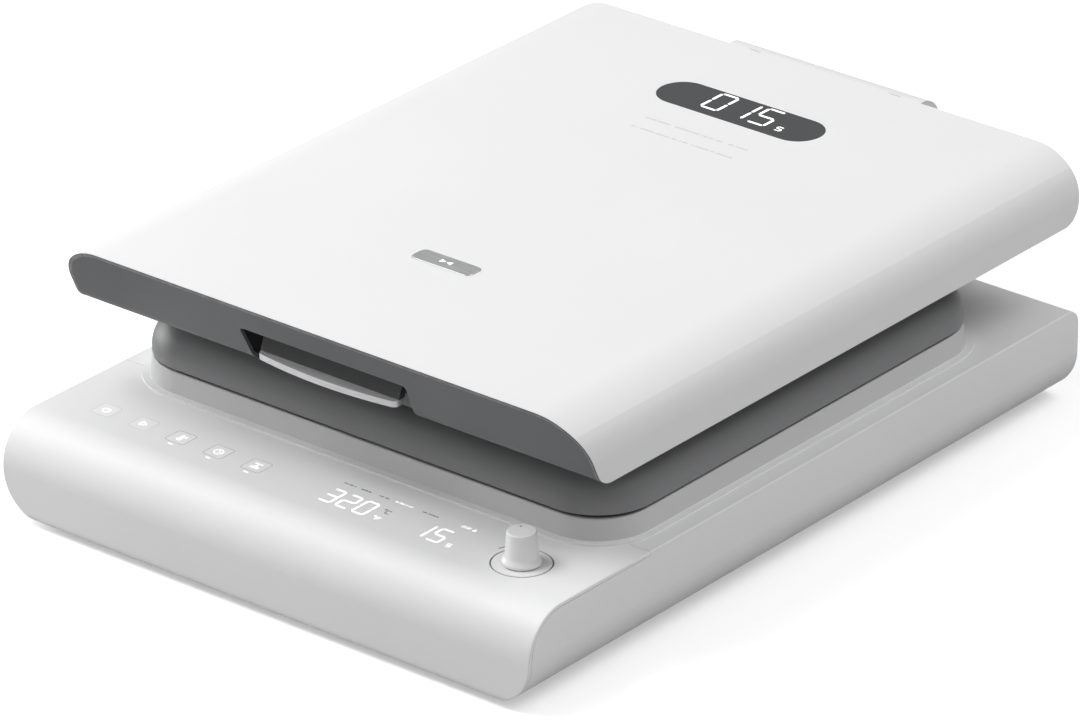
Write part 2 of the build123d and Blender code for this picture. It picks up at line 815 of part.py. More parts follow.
def make_pillars():
    """Six steel pillars that pass the pressing force from the carrier to the plate."""
    return Compound([disc(x, y, 8.0, plate_top, carrier_bottom) for x, y in pillar_places])


def make_carrier_plate():
    """Stiff aluminium plate that the guide posts and the nut stand on, with pressed ribs."""
    size = plate_size - 10
    plate = rounded_slab(size, size, plate_corner + 4, carrier_bottom, carrier_top, platform_y)
    low_y = platform_y - pillar_reach + 22
    high_y = platform_y + pillar_reach - 22
    for x in (-carrier_rib_x, carrier_rib_x):
        plate += block(x - 6, x + 6, low_y, high_y, carrier_top - 0.5, carrier_top + 2.5)
    return plate


def make_platen_casing():
    """Dark casing with a large soft rounding, open below, with holes for posts and nut."""
    casing = rounded_slab(platen_casing_size, platen_casing_size, platform_corner + 1,
                          casing_bottom, casing_top, platform_y)
    casing = fillet(casing.faces().sort_by(Axis.Z)[-1].edges(), platen_casing_round)
    inner_size = platen_casing_size - 2 * shell_wall
    inner = rounded_slab(inner_size, inner_size, platform_corner + 1 - shell_wall,
                         casing_bottom - 1, casing_roof, platform_y)
    inner = chamfer(inner.faces().sort_by(Axis.Z)[-1].edges(), (platen_casing_round - shell_wall) * 0.7)
    casing -= inner
    for x, y in post_places:
        casing -= disc(x, y, post_diameter / 2 + 1.0, casing_roof - 1, casing_top + 1)
    return casing - disc(0, platform_y, nut_radius + 2.0, casing_roof - 1, casing_top + 1)


nut_radius = 11.0


def make_platen_trim():
    """Flat ring that closes the gap between the heated plate and its casing."""
    outer = platen_casing_size - 2 * shell_wall - 2 * fit_gap
    ring = rounded_slab(outer, outer, platform_corner - 2, casing_bottom, casing_bottom + 2.5, platform_y)
    inner = plate_size + 2 * fit_gap
    return ring - rounded_slab(inner, inner, plate_corner, casing_bottom - 1, casing_bottom + 4, platform_y)


def make_guide_posts():
    """Four ground posts with a collar that carries the casing."""
    posts = []
    for x, y in post_places:
        post = disc(x, y, post_diameter / 2, carrier_top, frame_top + 24)
        posts.append(post + disc(x, y, 10.0, carrier_top, casing_roof))
    return Compound(posts)


def make_lead_nut():
    """Flanged bronze nut on the carrier."""
    top = casing_top + 14.0
    nut = disc(0, platform_y, 18.0, carrier_top, carrier_top + 3.5)
    nut += disc(0, platform_y, nut_radius, carrier_top, top)
    return nut - disc(0, platform_y, screw_diameter / 2 + running_gap, carrier_top + 1, top + 1)


def make_thermostat():
    """Safety thermostat pressed on the plate."""
    return disc(0, platform_y - pillar_reach + 30, 8.0, plate_top, plate_top + 6)


# Lid

def lid_front_view(inset, floor):
    """Front view of the lid: flat top, straight sides, shoulders of two arcs that meet tangent."""
    side = lid_half - inset
    top = lid_top - inset
    blend = math.radians(45)
    growth = (lid_round_x - lid_round_z) / (math.cos(blend) + math.sin(blend) - 1)
    low_radius = lid_round_x - growth * math.cos(blend) - inset
    high_radius = low_radius + growth
    low_centre = Vector(side - low_radius, top - lid_round_z + inset)
    meet = low_centre + Vector(math.cos(blend), math.sin(blend)) * low_radius
    high_centre = low_centre - Vector(math.cos(blend), math.sin(blend)) * growth
    low_middle = low_centre + Vector(math.cos(blend / 2), math.sin(blend / 2)) * low_radius
    high_middle = high_centre + Vector(math.sin(blend / 2), math.cos(blend / 2)) * high_radius
    shoulder = [Vector(side, low_centre.Y), low_middle, meet, high_middle, Vector(high_centre.X, top)]
    mirror = [Vector(-point.X, point.Y) for point in shoulder]
    edges = [Line((-side, floor), (side, floor)), Line((side, floor), shoulder[0]),
             ThreePointArc(*shoulder[:3]), ThreePointArc(*shoulder[2:]), Line(shoulder[4], mirror[4]),
             ThreePointArc(*reversed(mirror[2:])), ThreePointArc(*reversed(mirror[:3])),
             Line(mirror[0], (-side, floor))]
    return Face(Wire(edges))


def lid_side_view(inset):
    """Side view of the lid: undercut front, rounded lower corners, upright rear."""
    low = lid_bottom + inset
    high = lid_top + (5.0 if inset else 0.0)
    lean = inset * math.hypot(1, lid_front_slope)
    front_low = lid_front_y + (lid_top - low) * lid_front_slope + lean
    front_high = lid_front_y + (lid_top - high) * lid_front_slope + lean
    rear = lid_rear_y - inset
    return rounded_face([(front_low, low, lid_front_corner - inset), (rear, low, lid_rear_corner - inset),
                         (rear, high, 0), (front_high, high, 0)])


def face_y(z):
    """Depth of the lid's undercut front face at a height."""
    return lid_front_y + (lid_top - z) * lid_front_slope


lid_form = along_x(lid_side_view(0), -lid_half, lid_half)
lid_form &= along_y(lid_front_view(0, lid_bottom - 5), lid_front_y - 5, lid_rear_y + 5)
lid_core = along_y(lid_front_view(shell_wall + seam_gap, lid_bottom - 5), lid_front_y - 5, lid_rear_y + 5)
lid_core &= along_x(lid_side_view(0), -lid_half, lid_half)
lid_rim = lid_core - along_x(lid_side_view(shell_wall), -lid_half, lid_half)
curl_front = face_y(lid_bottom) + 12.0
curl_rear = lid_rear_y - 22.0
pocket_half = barrel_half + 2.0
pocket_front = tower_foot_front + 16.0


def make_lid_shell():
    """White top shell: one wrap over the top and both sides, with bosses under its skin."""
    inner = along_y(lid_front_view(shell_wall, lid_bottom - 10), lid_front_y - 10, lid_rear_y + 10)
    shell = lid_form - inner
    for x, y in window_bosses + button_bosses:
        shell += disc(x, y, 3.5, lid_board_top, lid_skin + 0.5)
    shell -= rounded_slab(button_length + 2 * fit_gap, button_width + 2 * fit_gap, 5.0 + fit_gap,
                          lid_skin - 5, lid_top + 5, button_y)
    shell -= rounded_slab(window_length + 0.2, window_width + 0.2, window_width / 2,
                          lid_top - window_thickness, lid_top + 5, window_y)
    shell -= rounded_slab(window_length - 8, window_width - 8, (window_width - 8) / 2 - 0.1,
                          lid_skin - 5, lid_top + 5, window_y)
    return shell


lid_board_top = lid_skin - 7.2
window_boss_x = window_length / 2 + 2.5
window_boss_y = window_width / 2 - 5.0
window_bosses = [(sx * window_boss_x, window_y + sy * window_boss_y) for sx in (-1, 1) for sy in (-1, 1)]
button_bosses = [(sx * (button_length / 2 + 8.0), button_y) for sx in (-1, 1)]


def handle_opening():
    """Tapered opening around the handle, through the front face and its lower edge."""
    face = rounded_face([(-recess_half + 3, lid_bottom - 5, 0), (recess_half - 3, lid_bottom - 5, 0),
                         (recess_half, recess_top_z, 3), (-recess_half, recess_top_z, 3)])
    return along_y(face, lid_front_y - 5, handle_back_y)


def make_lid_fascia():
    """Dark front face of the lid, undercut, with its lower edge curled under."""
    front = block(-lid_half, lid_half, lid_front_y - 5, curl_front, lid_bottom - 1, lid_top)
    return lid_rim & front - handle_opening()


def hinge_notch():
    """Room in the rear of the lid for the barrel of the hinge."""
    return block(-pocket_half, pocket_half, pocket_front, lid_rear_y + 10, lid_bottom - 5, lid_skin)


def make_lid_rear_cover():
    """Rear cover with a pocket around the hinge barrel, slotted for the arms."""
    rear = block(-lid_half, lid_half, curl_rear, lid_rear_y + 5, lid_bottom - 1, lid_top)
    cover = (lid_rim & rear) - hinge_notch()
    wall = 2.0
    top = lid_skin - seam_gap
    for side in (-1, 1):
        low = min(side * pocket_half, side * (pocket_half + wall))
        cover += block(low, low + wall, pocket_front - wall, lid_rear_y - 1, under_top, top)
    front_wall = block(-pocket_half, pocket_half, pocket_front - wall, pocket_front, under_top, top)
    for x in (-arm_x, arm_x):
        front_wall -= block(x - arm_thickness / 2 - 1, x + arm_thickness / 2 + 1, pocket_front - 5,
                            pocket_front + 5, under_top - 1, hinge_z + 12)
    return cover + front_wall


def belly_slab(grow, low, high):
    """Upright slab over the whole plan of the belly, grown by an amount on every side."""
    length = belly_rear_y - belly_front_y
    middle = (belly_rear_y + belly_front_y) / 2
    return rounded_slab(belly_width + 2 * grow, length + 2 * grow, belly_corner + grow, low, high, middle)


def flat_cover():
    """Flat underside of the lid with a large opening for the belly, and the bosses of the frame."""
    cover = lid_rim & block(-lid_half, lid_half, curl_front + seam_gap, curl_rear - seam_gap,
                            lid_bottom - 1, lid_bottom + 10)
    cover -= hinge_notch() + handle_opening() + belly_slab(fit_gap, lid_bottom - 1, under_top + 1)
    for x, y in frame_bosses:
        cover += disc(x, y, frame_boss_radius, under_top - 0.5, frame_bottom)
    return cover


def belly_pan():
    """Belly that houses the drive: a shallow tub hung in the cover by a flange on three sides."""
    belly = belly_slab(0, belly_bottom, under_top)
    belly = fillet(belly.faces().sort_by(Axis.Z)[0].edges(), belly_edge_round)
    rim = belly_slab(belly_flange, under_top, under_top + belly_flange_thickness)
    rim &= block(-half_w, half_w, belly_front_y + belly_corner, half_d, under_top, lid_top)
    hollow = belly_slab(-shell_wall, belly_bottom + shell_wall, lid_top)
    hollow = chamfer(hollow.faces().sort_by(Axis.Z)[0].edges(), belly_edge_round - shell_wall)
    pan = belly + rim - hollow
    for x, y in post_places:
        pan -= disc(x, y, post_diameter / 2 + 1.0, belly_bottom - 1, under_top)
    return pan - disc(0, platform_y, nut_radius + 2.0, belly_bottom - 1, under_top)


def make_under_cover():
    """Underside of the lid in two mouldings, the flat cover and the belly."""
    return Compound([flat_cover(), belly_pan()])


frame_screw = 2.0
screw_head_height = 2.4
frame_boss_radius = 6.0
frame_boss_x = lid_half - frame_side_gap - 9.0
frame_boss_pitch = 178.0
frame_bosses = [(sx * frame_boss_x, platform_y + sy * frame_boss_pitch)
                for sx in (-1, 1) for sy in (-1, 0, 1)]


def make_lid_frame():
    """Steel chassis plate of the lid with lightening cut-outs."""
    low_y = lid_front_y + frame_front_inset
    high_y = pocket_front - 4.0
    width = lid_width - 2 * frame_side_gap
    plate = rounded_slab(width, high_y - low_y, frame_corner, frame_bottom, frame_top, (low_y + high_y) / 2)
    window = Box(frame_window, frame_window, 3 * frame_thickness)
    for x in (-frame_window_x, frame_window_x):
        for y in (platform_y - frame_window_y, platform_y + frame_window_y):
            plate -= Pos(x, y, frame_top) * window
    for x, y in post_places:
        plate -= disc(x, y, bush_outer, frame_bottom - 1, frame_top + 1)
    for x, y in frame_bosses:
        plate -= disc(x, y, frame_screw, frame_bottom - 1, frame_top + 1)
    return plate - disc(0, platform_y, screw_diameter / 2 + 1.0, frame_bottom - 1, frame_top + 1)


bush_outer = post_diameter / 2 + 4.0


def make_guide_bushes():
    """Four flanged bushes in the frame."""
    bushes = []
    for x, y in post_places:
        bush = disc(x, y, bush_outer, frame_bottom - 8, frame_top)
        bush += disc(x, y, bush_outer + 4, frame_top, frame_top + 3)
        bushes.append(bush - disc(x, y, post_diameter / 2 + running_gap, frame_bottom - 9, frame_top + 4))
    return Compound(bushes)


def make_screw_bearing():
    """Bearing block that carries the lead screw on the frame."""
    bore = screw_diameter / 2 + running_gap
    return revolved([(bore, frame_top, 0), (16, frame_top, 0), (16, frame_top + 3, 0), (12, frame_top + 4, 0),
                     (12, gear_bottom - 1.5, 0), (bore, gear_bottom - 1.5, 0)], 0, platform_y)


def make_lead_screw():
    """Lead screw between the gear and the nut."""
    screw = disc(0, platform_y, screw_diameter / 2, carrier_top + press_travel + 1.5, gear_top + 2)
    screw = chamfer(screw.faces().sort_by(Axis.Z)[0].edges(), 1.0)
    return screw


def gear_face(teeth, bore):
    """Spur gear outline with involute flanks, thinned by the backlash."""
    pitch_radius = gear_module * teeth / 2
    base_radius = pitch_radius * math.cos(math.radians(20))
    tip_radius = pitch_radius + 0.95 * gear_module
    root_radius = pitch_radius - 1.25 * gear_module
    pitch_half = math.pi / (2 * teeth) - gear_backlash / (2 * pitch_radius)
    pressure = math.tan(math.radians(20)) - math.radians(20)
    start_radius = max(base_radius, root_radius + 0.1)
    flank = []
    for step in range(3):
        radius = start_radius + (tip_radius - start_radius) * step / 2
        roll = math.sqrt(max((radius / base_radius)**2 - 1, 0))
        flank.append((radius, pitch_half + pressure - (roll - math.atan(roll))))
    points = []
    for tooth in range(teeth):
        middle = 2 * math.pi * tooth / teeth
        for radius, angle in [(root_radius, flank[0][1])] + flank:
            points.append((radius * math.cos(middle - angle), radius * math.sin(middle - angle)))
        for radius, angle in list(reversed(flank)) + [(root_radius, flank[0][1])]:
            points.append((radius * math.cos(middle + angle), radius * math.sin(middle + angle)))
    outline = Face(Wire(Polyline(*points, close=True).edges()))
    return outline - Circle(bore)


def make_drive_gear():
    """Large spur gear on the lead screw, thinned by a recess, with a hub."""
    blank = extrude(gear_face(drive_teeth, screw_diameter / 2), gear_width)
    recess = disc(0, 0, 28, gear_width - 2.5, gear_width + 1) - disc(0, 0, 11, gear_width - 3, gear_width + 2)
    return Pos(0, platform_y, gear_bottom) * Rot(0, 0, 90) * (blank - recess)


def make_pinion():
    """Small gear on the motor shaft, turned half a tooth so that it meshes."""
    turn = -90 - 180 / pinion_teeth + 180 * (pinion_teeth % 2 == 0)
    blank = extrude(gear_face(pinion_teeth, 4.0), gear_width)
    return Pos(0, platform_y + gear_distance, gear_bottom) * Rot(0, 0, turn) * blank


def make_motor():
    """Flat gear motor: round body, mounting ears and a raised boss around the shaft."""
    y = platform_y + gear_distance
    body = disc(0, y, motor_diameter / 2, frame_top, frame_top + motor_height - 2)
    body = chamfer(body.faces().sort_by(Axis.Z)[-1].edges(), 1.5)
    body += disc(0, y, 10, frame_top + 5, frame_top + motor_height)
    ear_reach = motor_diameter / 2 + 5.0
    for angle in (35, 145, 215, 325):
        ear_x = ear_reach * math.cos(math.radians(angle))
        ear_y = y + ear_reach * math.sin(math.radians(angle))
        body += disc(ear_x, ear_y, 6, frame_top, frame_top + 4)
    return body - disc(0, y, 4.0 + running_gap, frame_top + 6, gear_bottom + 1)


def make_motor_shaft():
    """Output shaft of the gear motor."""
    return disc(0, platform_y + gear_distance, 4.0, frame_top + 6.2, gear_top + 1.5)


# Lid display and start button

def make_display_window():
    """Smoked pill-shaped window, flush in the lid."""
    return rounded_slab(window_length, window_width, window_width / 2 - 0.05,
                        lid_top - window_thickness, lid_top, window_y)


def make_lid_display_board():
    """Board of the lid display, screwed to the bosses under the skin."""
    return rounded_slab(window_length + 21, window_width + 2, 4, lid_board_top - board_thickness,
                        lid_board_top, window_y)


def make_lid_display_leds():
    """Light blocks of the lid display: three digits in the middle and the unit at their right."""
    half_x = 0.4 * lid_digit_pitch
    half_y = window_width / 2 - 5.0
    places = [index * lid_digit_pitch for index in (-1, 0, 1, 2)]
    low = window_y - half_y
    high = window_y + half_y
    return Compound([block(x - half_x, x + half_x, low, high, lid_board_top, lid_skin) for x in places])


def make_start_button():
    """Start button cap with the flange that keeps it in the lid."""
    cap = rounded_slab(button_length, button_width, 5.0, lid_skin - 2.3, lid_top + button_proud, button_y)
    cap = chamfer(cap.faces().sort_by(Axis.Z)[-1].edges(), 0.5)
    flange = rounded_slab(button_length + 4, button_width + 4, 6.0, lid_skin - 2.3, lid_skin - 0.5, button_y)
    return cap + flange


def make_button_board():
    """Board and push switches under the start button."""
    board = rounded_slab(button_length + 26, button_width + 6, 4, lid_board_top - board_thickness,
                         lid_board_top, button_y)
    for x in (-0.28 * button_length, 0.28 * button_length):
        board += block(x - 3, x + 3, button_y - 3, button_y + 3, lid_board_top - 0.2, lid_board_top + 2.4)
        board += disc(x, button_y, 1.7, lid_board_top, lid_skin - 2.3 - button_travel - 0.2)
    return board


# Release handle

handle_pivot_y = face_y(recess_top_z) + handle_pivot_back
handle_pivot_z = recess_top_z - 3.5
handle_back_y = handle_pivot_y + 14.0


def make_handle_bucket():
    """Black pocket behind the front face that the fingers reach into."""
    wall = 2.0
    high = recess_top_z + 6.0
    low = under_top
    side = recess_half + wall
    outer = block(-side, side, lid_front_y, handle_back_y + wall, low, high + wall)
    inner = block(-recess_half, recess_half, lid_front_y - 5, handle_back_y, low - 1, high)
    bucket = (outer & along_x(lid_side_view(shell_wall), -lid_half, lid_half)) - inner
    return bucket - rod_x(handle_pivot_y, handle_pivot_z, handle_pin_diameter / 2, -side - 1, side + 1)


def make_handle_pin():
    """Steel pin across the pocket."""
    return rod_x(handle_pivot_y, handle_pivot_z, handle_pin_diameter / 2, -recess_half - 2, recess_half + 2)


def make_handle_lever():
    """Paddle that hangs on the pin and leans out towards its lip."""
    front = face_y(lip_top_z)
    y = handle_pivot_y
    z = handle_pivot_z
    eye = handle_pin_diameter / 2 + 2.7
    face = rounded_face([(front + 6.0, lip_top_z, 0), (front + 0.6, lip_top_z, 0),
                         (front + 0.1, lip_top_z + 0.8, 0), (y - 6.5, recess_top_z - 0.2, 2.0),
                         (y, z + eye, 3.0), (y + eye, z, 3.0),
                         (y, z - eye, 3.0), (y - 3.5, z - 3.2, 3.0)])
    lever = along_x(face, -handle_half, handle_half)
    return lever - rod_x(y, z, handle_pin_diameter / 2 + running_gap, -recess_half, recess_half)


def make_handle_lip():
    """Polished aluminium lip with a bowed front edge, a groove before the paddle and round corners."""
    root = face_y(lip_top_z)
    back = root + 6.0
    front = root - lip_reach
    side = handle_half
    edges = [ThreePointArc((-side, front), (0, front - lip_bow), (side, front)),
             Line((side, front), (side, back)), Line((side, back), (-side, back)),
             Line((-side, back), (-side, front))]
    lip = Pos(0, 0, lip_top_z - lip_thickness) * extrude(Face(Wire(edges)), lip_thickness)
    lip = fillet(lip.edges().filter_by(Axis.Z), lip_corner)
    return lip - block(-side, side, root - lip_groove, root, lip_top_z - lip_groove_depth, lip_top_z + 1.0)


def make_handle_springs():
    """Two closely wound return springs on the pin, between the paddle and the pocket's sides."""
    springs = []
    for side in (-1, 1):
        low = min(side * handle_half, side * recess_half) + fit_gap
        high = max(side * handle_half, side * recess_half) - fit_gap
        outer = handle_pin_diameter / 2 + fit_gap + spring_wire
        coil = rod_x(handle_pivot_y, handle_pivot_z, outer, low, high)
        springs.append(coil - rod_x(handle_pivot_y, handle_pivot_z, outer - spring_wire, low - 1, high + 1))
    return Compound(springs)


# Fasteners

def make_frame_screws():
    """Screws that hold the lid frame to the bosses of the underside."""
    screws = []
    for x, y in frame_bosses:
        head = disc(x, y, 2 * frame_screw, frame_top, frame_top + screw_head_height)
        screws.append(head + disc(x, y, frame_screw, frame_bottom, frame_top + 0.1))
    return Compound(screws)


pieces = {
    "main_shell": make_main_shell, "front_cover": make_front_cover, "bottom_pan": make_bottom_pan,
    "rear_panel": make_rear_panel, "rubber_feet": make_feet, "mains_inlet": make_mains_inlet,
    "rocker_frame": make_rocker_frame, "power_rocker": make_rocker,
    "platform_casing": make_platform_casing, "platform_frame": make_platform_frame,
    "pad_plate": make_pad_plate, "silicone_pad": make_silicone_pad,
    "control_board": make_control_board, "panel_display": make_panel_display,
    "touch_springs": make_touch_springs, "encoder": make_encoder, "encoder_plunger": make_encoder_plunger,
    "encoder_shaft": make_encoder_shaft, "knob": make_knob, "power_board": make_power_board,
    "power_parts": make_power_parts,
    "tower_front_cover": make_tower_front_cover, "tower_rear_cover": make_tower_rear_cover,
    "hinge_bracket": make_hinge_bracket, "hinge_bushes": make_hinge_bushes,
    "hinge_shaft": make_hinge_shaft, "lid_arms": make_lid_arms,
    "heat_plate": make_heat_plate, "heating_element": make_heating_element, "insulation": make_insulation,
    "platen_pillars": make_pillars, "carrier_plate": make_carrier_plate, "platen_casing": make_platen_casing,
    "platen_trim": make_platen_trim, "guide_posts": make_guide_posts, "lead_nut": make_lead_nut,
    "thermostat": make_thermostat,
    "lid_shell": make_lid_shell, "lid_fascia": make_lid_fascia, "lid_rear_cover": make_lid_rear_cover,
    "under_cover": make_under_cover, "lid_frame": make_lid_frame, "guide_bushes": make_guide_bushes,
    "screw_bearing": make_screw_bearing, "lead_screw": make_lead_screw, "drive_gear": make_drive_gear,
    "motor_pinion": make_pinion, "gear_motor": make_motor, "motor_shaft": make_motor_shaft,
    "display_window": make_display_window, "lid_display_board": make_lid_display_board,
    "lid_display_leds": make_lid_display_leds, "start_button": make_start_button,
    "button_board": make_button_board,
    "handle_bucket": make_handle_bucket, "handle_pin": make_handle_pin, "handle_lever": make_handle_lever,
    "handle_lip": make_handle_lip, "handle_springs": make_handle_springs,
    "frame_screws": make_frame_screws,
}

for name, make in pieces.items():
    save(name, make())
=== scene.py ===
import math
import bpy
import numpy as np
from mathutils import Matrix, Vector


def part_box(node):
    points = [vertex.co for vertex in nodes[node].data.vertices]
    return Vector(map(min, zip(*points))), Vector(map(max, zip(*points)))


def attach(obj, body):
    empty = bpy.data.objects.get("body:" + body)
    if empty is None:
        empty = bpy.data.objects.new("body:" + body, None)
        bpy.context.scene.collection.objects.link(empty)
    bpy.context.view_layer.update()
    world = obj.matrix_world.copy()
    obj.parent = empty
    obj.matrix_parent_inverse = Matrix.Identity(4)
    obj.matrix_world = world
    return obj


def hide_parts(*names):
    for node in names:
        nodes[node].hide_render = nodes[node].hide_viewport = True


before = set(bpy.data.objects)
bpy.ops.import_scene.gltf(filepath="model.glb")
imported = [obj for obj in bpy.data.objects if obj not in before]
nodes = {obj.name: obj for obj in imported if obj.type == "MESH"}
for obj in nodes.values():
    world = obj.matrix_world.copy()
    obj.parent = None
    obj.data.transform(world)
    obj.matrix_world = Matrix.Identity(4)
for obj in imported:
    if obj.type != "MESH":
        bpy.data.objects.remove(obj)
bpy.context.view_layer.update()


def mesh_piece(name, points, faces, material, smooth=True):
    """Object at the origin whose mesh has these points, in metres, and these faces."""
    mesh = bpy.data.meshes.new(name)
    mesh.from_pydata(np.asarray(points, dtype=float).reshape(-1, 3).tolist(), [], faces)
    mesh.update()
    mesh.polygons.foreach_set("use_smooth", np.full(len(mesh.polygons), smooth))
    mesh.materials.append(material)
    piece = bpy.data.objects.new(name, mesh)
    bpy.context.scene.collection.objects.link(piece)
    return piece


def place_node(tree, kind, values=(), links=(), **choices):
    """One shader node with its choices set, its sockets filled and joined to earlier outputs."""
    made = tree.nodes.new(kind)
    for key, value in choices.items():
        setattr(made, key, value)
    for socket, value in dict(values).items():
        made.inputs[socket].default_value = value
    for socket, source in dict(links).items():
        tree.links.new(source, made.inputs[socket])
    return made


def bare_material(name):
    """New material with its Principled shader, and its tree."""
    material = bpy.data.materials.new(name)
    material.use_nodes = True
    return material, material.node_tree, material.node_tree.nodes["Principled BSDF"]


bounced_tone = 0.52
seen_tone = 0.97
seen_glow = 0.35
floor_paint, tree, shader = bare_material("floor_paint")
shader.inputs["Roughness"].default_value = 0.9
shader.inputs["Specular IOR Level"].default_value = 0.1
ray = place_node(tree, "ShaderNodeLightPath")
shade = place_node(tree, "ShaderNodeMix", data_type="RGBA", links={0: ray.outputs["Is Camera Ray"]},
                   values={6: (*[bounced_tone] * 3, 1), 7: (*[seen_tone] * 3, 1)})
tree.links.new(shade.outputs[2], shader.inputs["Base Color"])
shader.inputs["Emission Color"].default_value = (1, 1, 1, 1)
glow = place_node(tree, "ShaderNodeMath", operation="MULTIPLY", values={1: seen_glow},
                  links={0: ray.outputs["Is Camera Ray"]})
tree.links.new(glow.outputs[0], shader.inputs["Emission Strength"])

floor_reach = 6.0
floor_level = -0.0004
floor_lines = 13
span = np.linspace(-floor_reach, floor_reach, floor_lines)
floor_grid = np.stack(np.meshgrid(span, span, [floor_level], indexing="ij"), -1).reshape(-1, 3)
cell_corners = [i * floor_lines + j for i in range(floor_lines - 1) for j in range(floor_lines - 1)]
cells = [(corner, corner + floor_lines, corner + floor_lines + 1, corner + 1) for corner in cell_corners]
studio_floor = mesh_piece("studio_floor", floor_grid, cells, floor_paint)

dome = bpy.data.worlds.new("studio_dome")
bpy.context.scene.world = dome
dome.use_nodes = True
sky = dome.node_tree.nodes["Background"]
sky.inputs["Color"].default_value = (1.0, 1.0, 1.0, 1)
direction = place_node(dome.node_tree, "ShaderNodeTexCoord")
heading = place_node(dome.node_tree, "ShaderNodeSeparateXYZ",
                     links={"Vector": direction.outputs["Generated"]})
sky_rise = place_node(dome.node_tree, "ShaderNodeMapRange", links={"Value": heading.outputs["Z"]},
                      values={"From Min": 0.0, "From Max": 0.9, "To Min": 0.36, "To Max": 0.43})
dome.node_tree.links.new(sky_rise.outputs["Result"], sky.inputs["Strength"])
bpy.context.scene.view_settings.view_transform = "Standard"


def soft_box(name, place, target, size, power):
    """Square area light that looks from its place at a target."""
    lamp = bpy.data.lights.new(name, "AREA")
    lamp.shape = "SQUARE"
    lamp.size = size
    lamp.energy = power
    box = bpy.data.objects.new(name, lamp)
    box.location = place
    box.rotation_mode = "QUATERNION"
    box.rotation_quaternion = (Vector(target) - Vector(place)).to_track_quat("-Z", "Y")
    bpy.context.scene.collection.objects.link(box)


soft_box("key_box", place=(-1.60, -1.35, 3.40), target=(0.0, 0.0, 0.1), size=1.9, power=84.0)
soft_box("side_box", place=(1.50, 0.90, 2.45), target=(0.1, 0.0, 0.1), size=1.5, power=26.0)
soft_box("left_box", place=(-1.00, -0.28, 0.34), target=(0.0, 0.0, 0.1), size=0.6, power=4.2)

# Camera: a long lens from the front right, turned 39 degrees and 26 degrees above the floor.
# Its turn, rise, distance and shifts were solved from the housing's straight edges.
camera_turn = math.radians(39.08)
camera_rise = math.radians(25.78)
camera_distance = 5.30134
camera_shift_right = -0.00550
camera_shift_up = 0.06355
housing_middle = Vector((0, -0.01425, 0))
back = Vector((math.sin(camera_turn) * math.cos(camera_rise),
               -math.cos(camera_turn) * math.cos(camera_rise), math.sin(camera_rise)))
right = Vector((math.cos(camera_turn), math.sin(camera_turn), 0.0))
upward = back.cross(right)
camera_data = bpy.data.cameras.new("studio_camera")
camera_data.lens = 264.84
camera_data.sensor_width = 36.0
camera_data.clip_end = 50.0
studio_camera = bpy.data.objects.new("studio_camera", camera_data)
stand = back * camera_distance + right * camera_shift_right + upward * camera_shift_up + housing_middle
turned = Matrix((right, upward, back)).transposed().to_4x4()
studio_camera.matrix_world = Matrix.Translation(stand) @ turned
bpy.context.scene.collection.objects.link(studio_camera)
bpy.context.scene.camera = studio_camera


# Housing of the base: deck and sides in one wrap, and a bent front cover with the control
# panel, both moulded in a smooth satin white plastic with a very fine skin. They meet along
# the front edge and are held by the pan below.
def shared_effect(name, inputs, outputs):
    """Shader node group with named inputs and outputs, and its two end nodes."""
    group = bpy.data.node_groups.new(name, "ShaderNodeTree")
    kinds = {"c": "NodeSocketColor", "f": "NodeSocketFloat", "v": "NodeSocketVector"}
    for label, kind in inputs:
        group.interface.new_socket(label, in_out="INPUT", socket_type=kinds[kind])
    for label, kind in outputs:
        group.interface.new_socket(label, in_out="OUTPUT", socket_type=kinds[kind])
    return group, group.nodes.new("NodeGroupInput"), group.nodes.new("NodeGroupOutput")


# Edge wear: where the bevelled normal leaves the true one there is an edge, and a noise
# breaks the band up. The mask goes from 0 on the flat to the given amount on an edge.
edge_wear, given, result = shared_effect("edge_wear", [("Radius", "f"), ("Amount", "f")], [("Mask", "f")])
softened = place_node(edge_wear, "ShaderNodeBevel", samples=6, links={"Radius": given.outputs["Radius"]})
true_side = place_node(edge_wear, "ShaderNodeNewGeometry")
agreement = place_node(edge_wear, "ShaderNodeVectorMath", operation="DOT_PRODUCT",
                       links={0: softened.outputs["Normal"], 1: true_side.outputs["Normal"]})
edge = place_node(edge_wear, "ShaderNodeMapRange", values={"From Min": 0.995, "From Max": 0.80},
                  links={"Value": agreement.outputs["Value"]})
place = place_node(edge_wear, "ShaderNodeTexCoord")
breaks = place_node(edge_wear, "ShaderNodeTexNoise", values={"Scale": 160.0, "Detail": 4.0, "Roughness": 0.7},
                    links={"Vector": place.outputs["Object"]})
broken = place_node(edge_wear, "ShaderNodeMapRange", links={"Value": breaks.outputs["Fac"]},
                    values={"From Min": 0.35, "From Max": 0.60, "To Min": 0.35})
worn = place_node(edge_wear, "ShaderNodeMath", operation="MULTIPLY",
                  links={0: edge.outputs["Result"], 1: broken.outputs["Result"]})
mask = place_node(edge_wear, "ShaderNodeMath", operation="MULTIPLY",
                  links={0: worn.outputs[0], 1: given.outputs["Amount"]})
edge_wear.links.new(mask.outputs[0], result.inputs["Mask"])

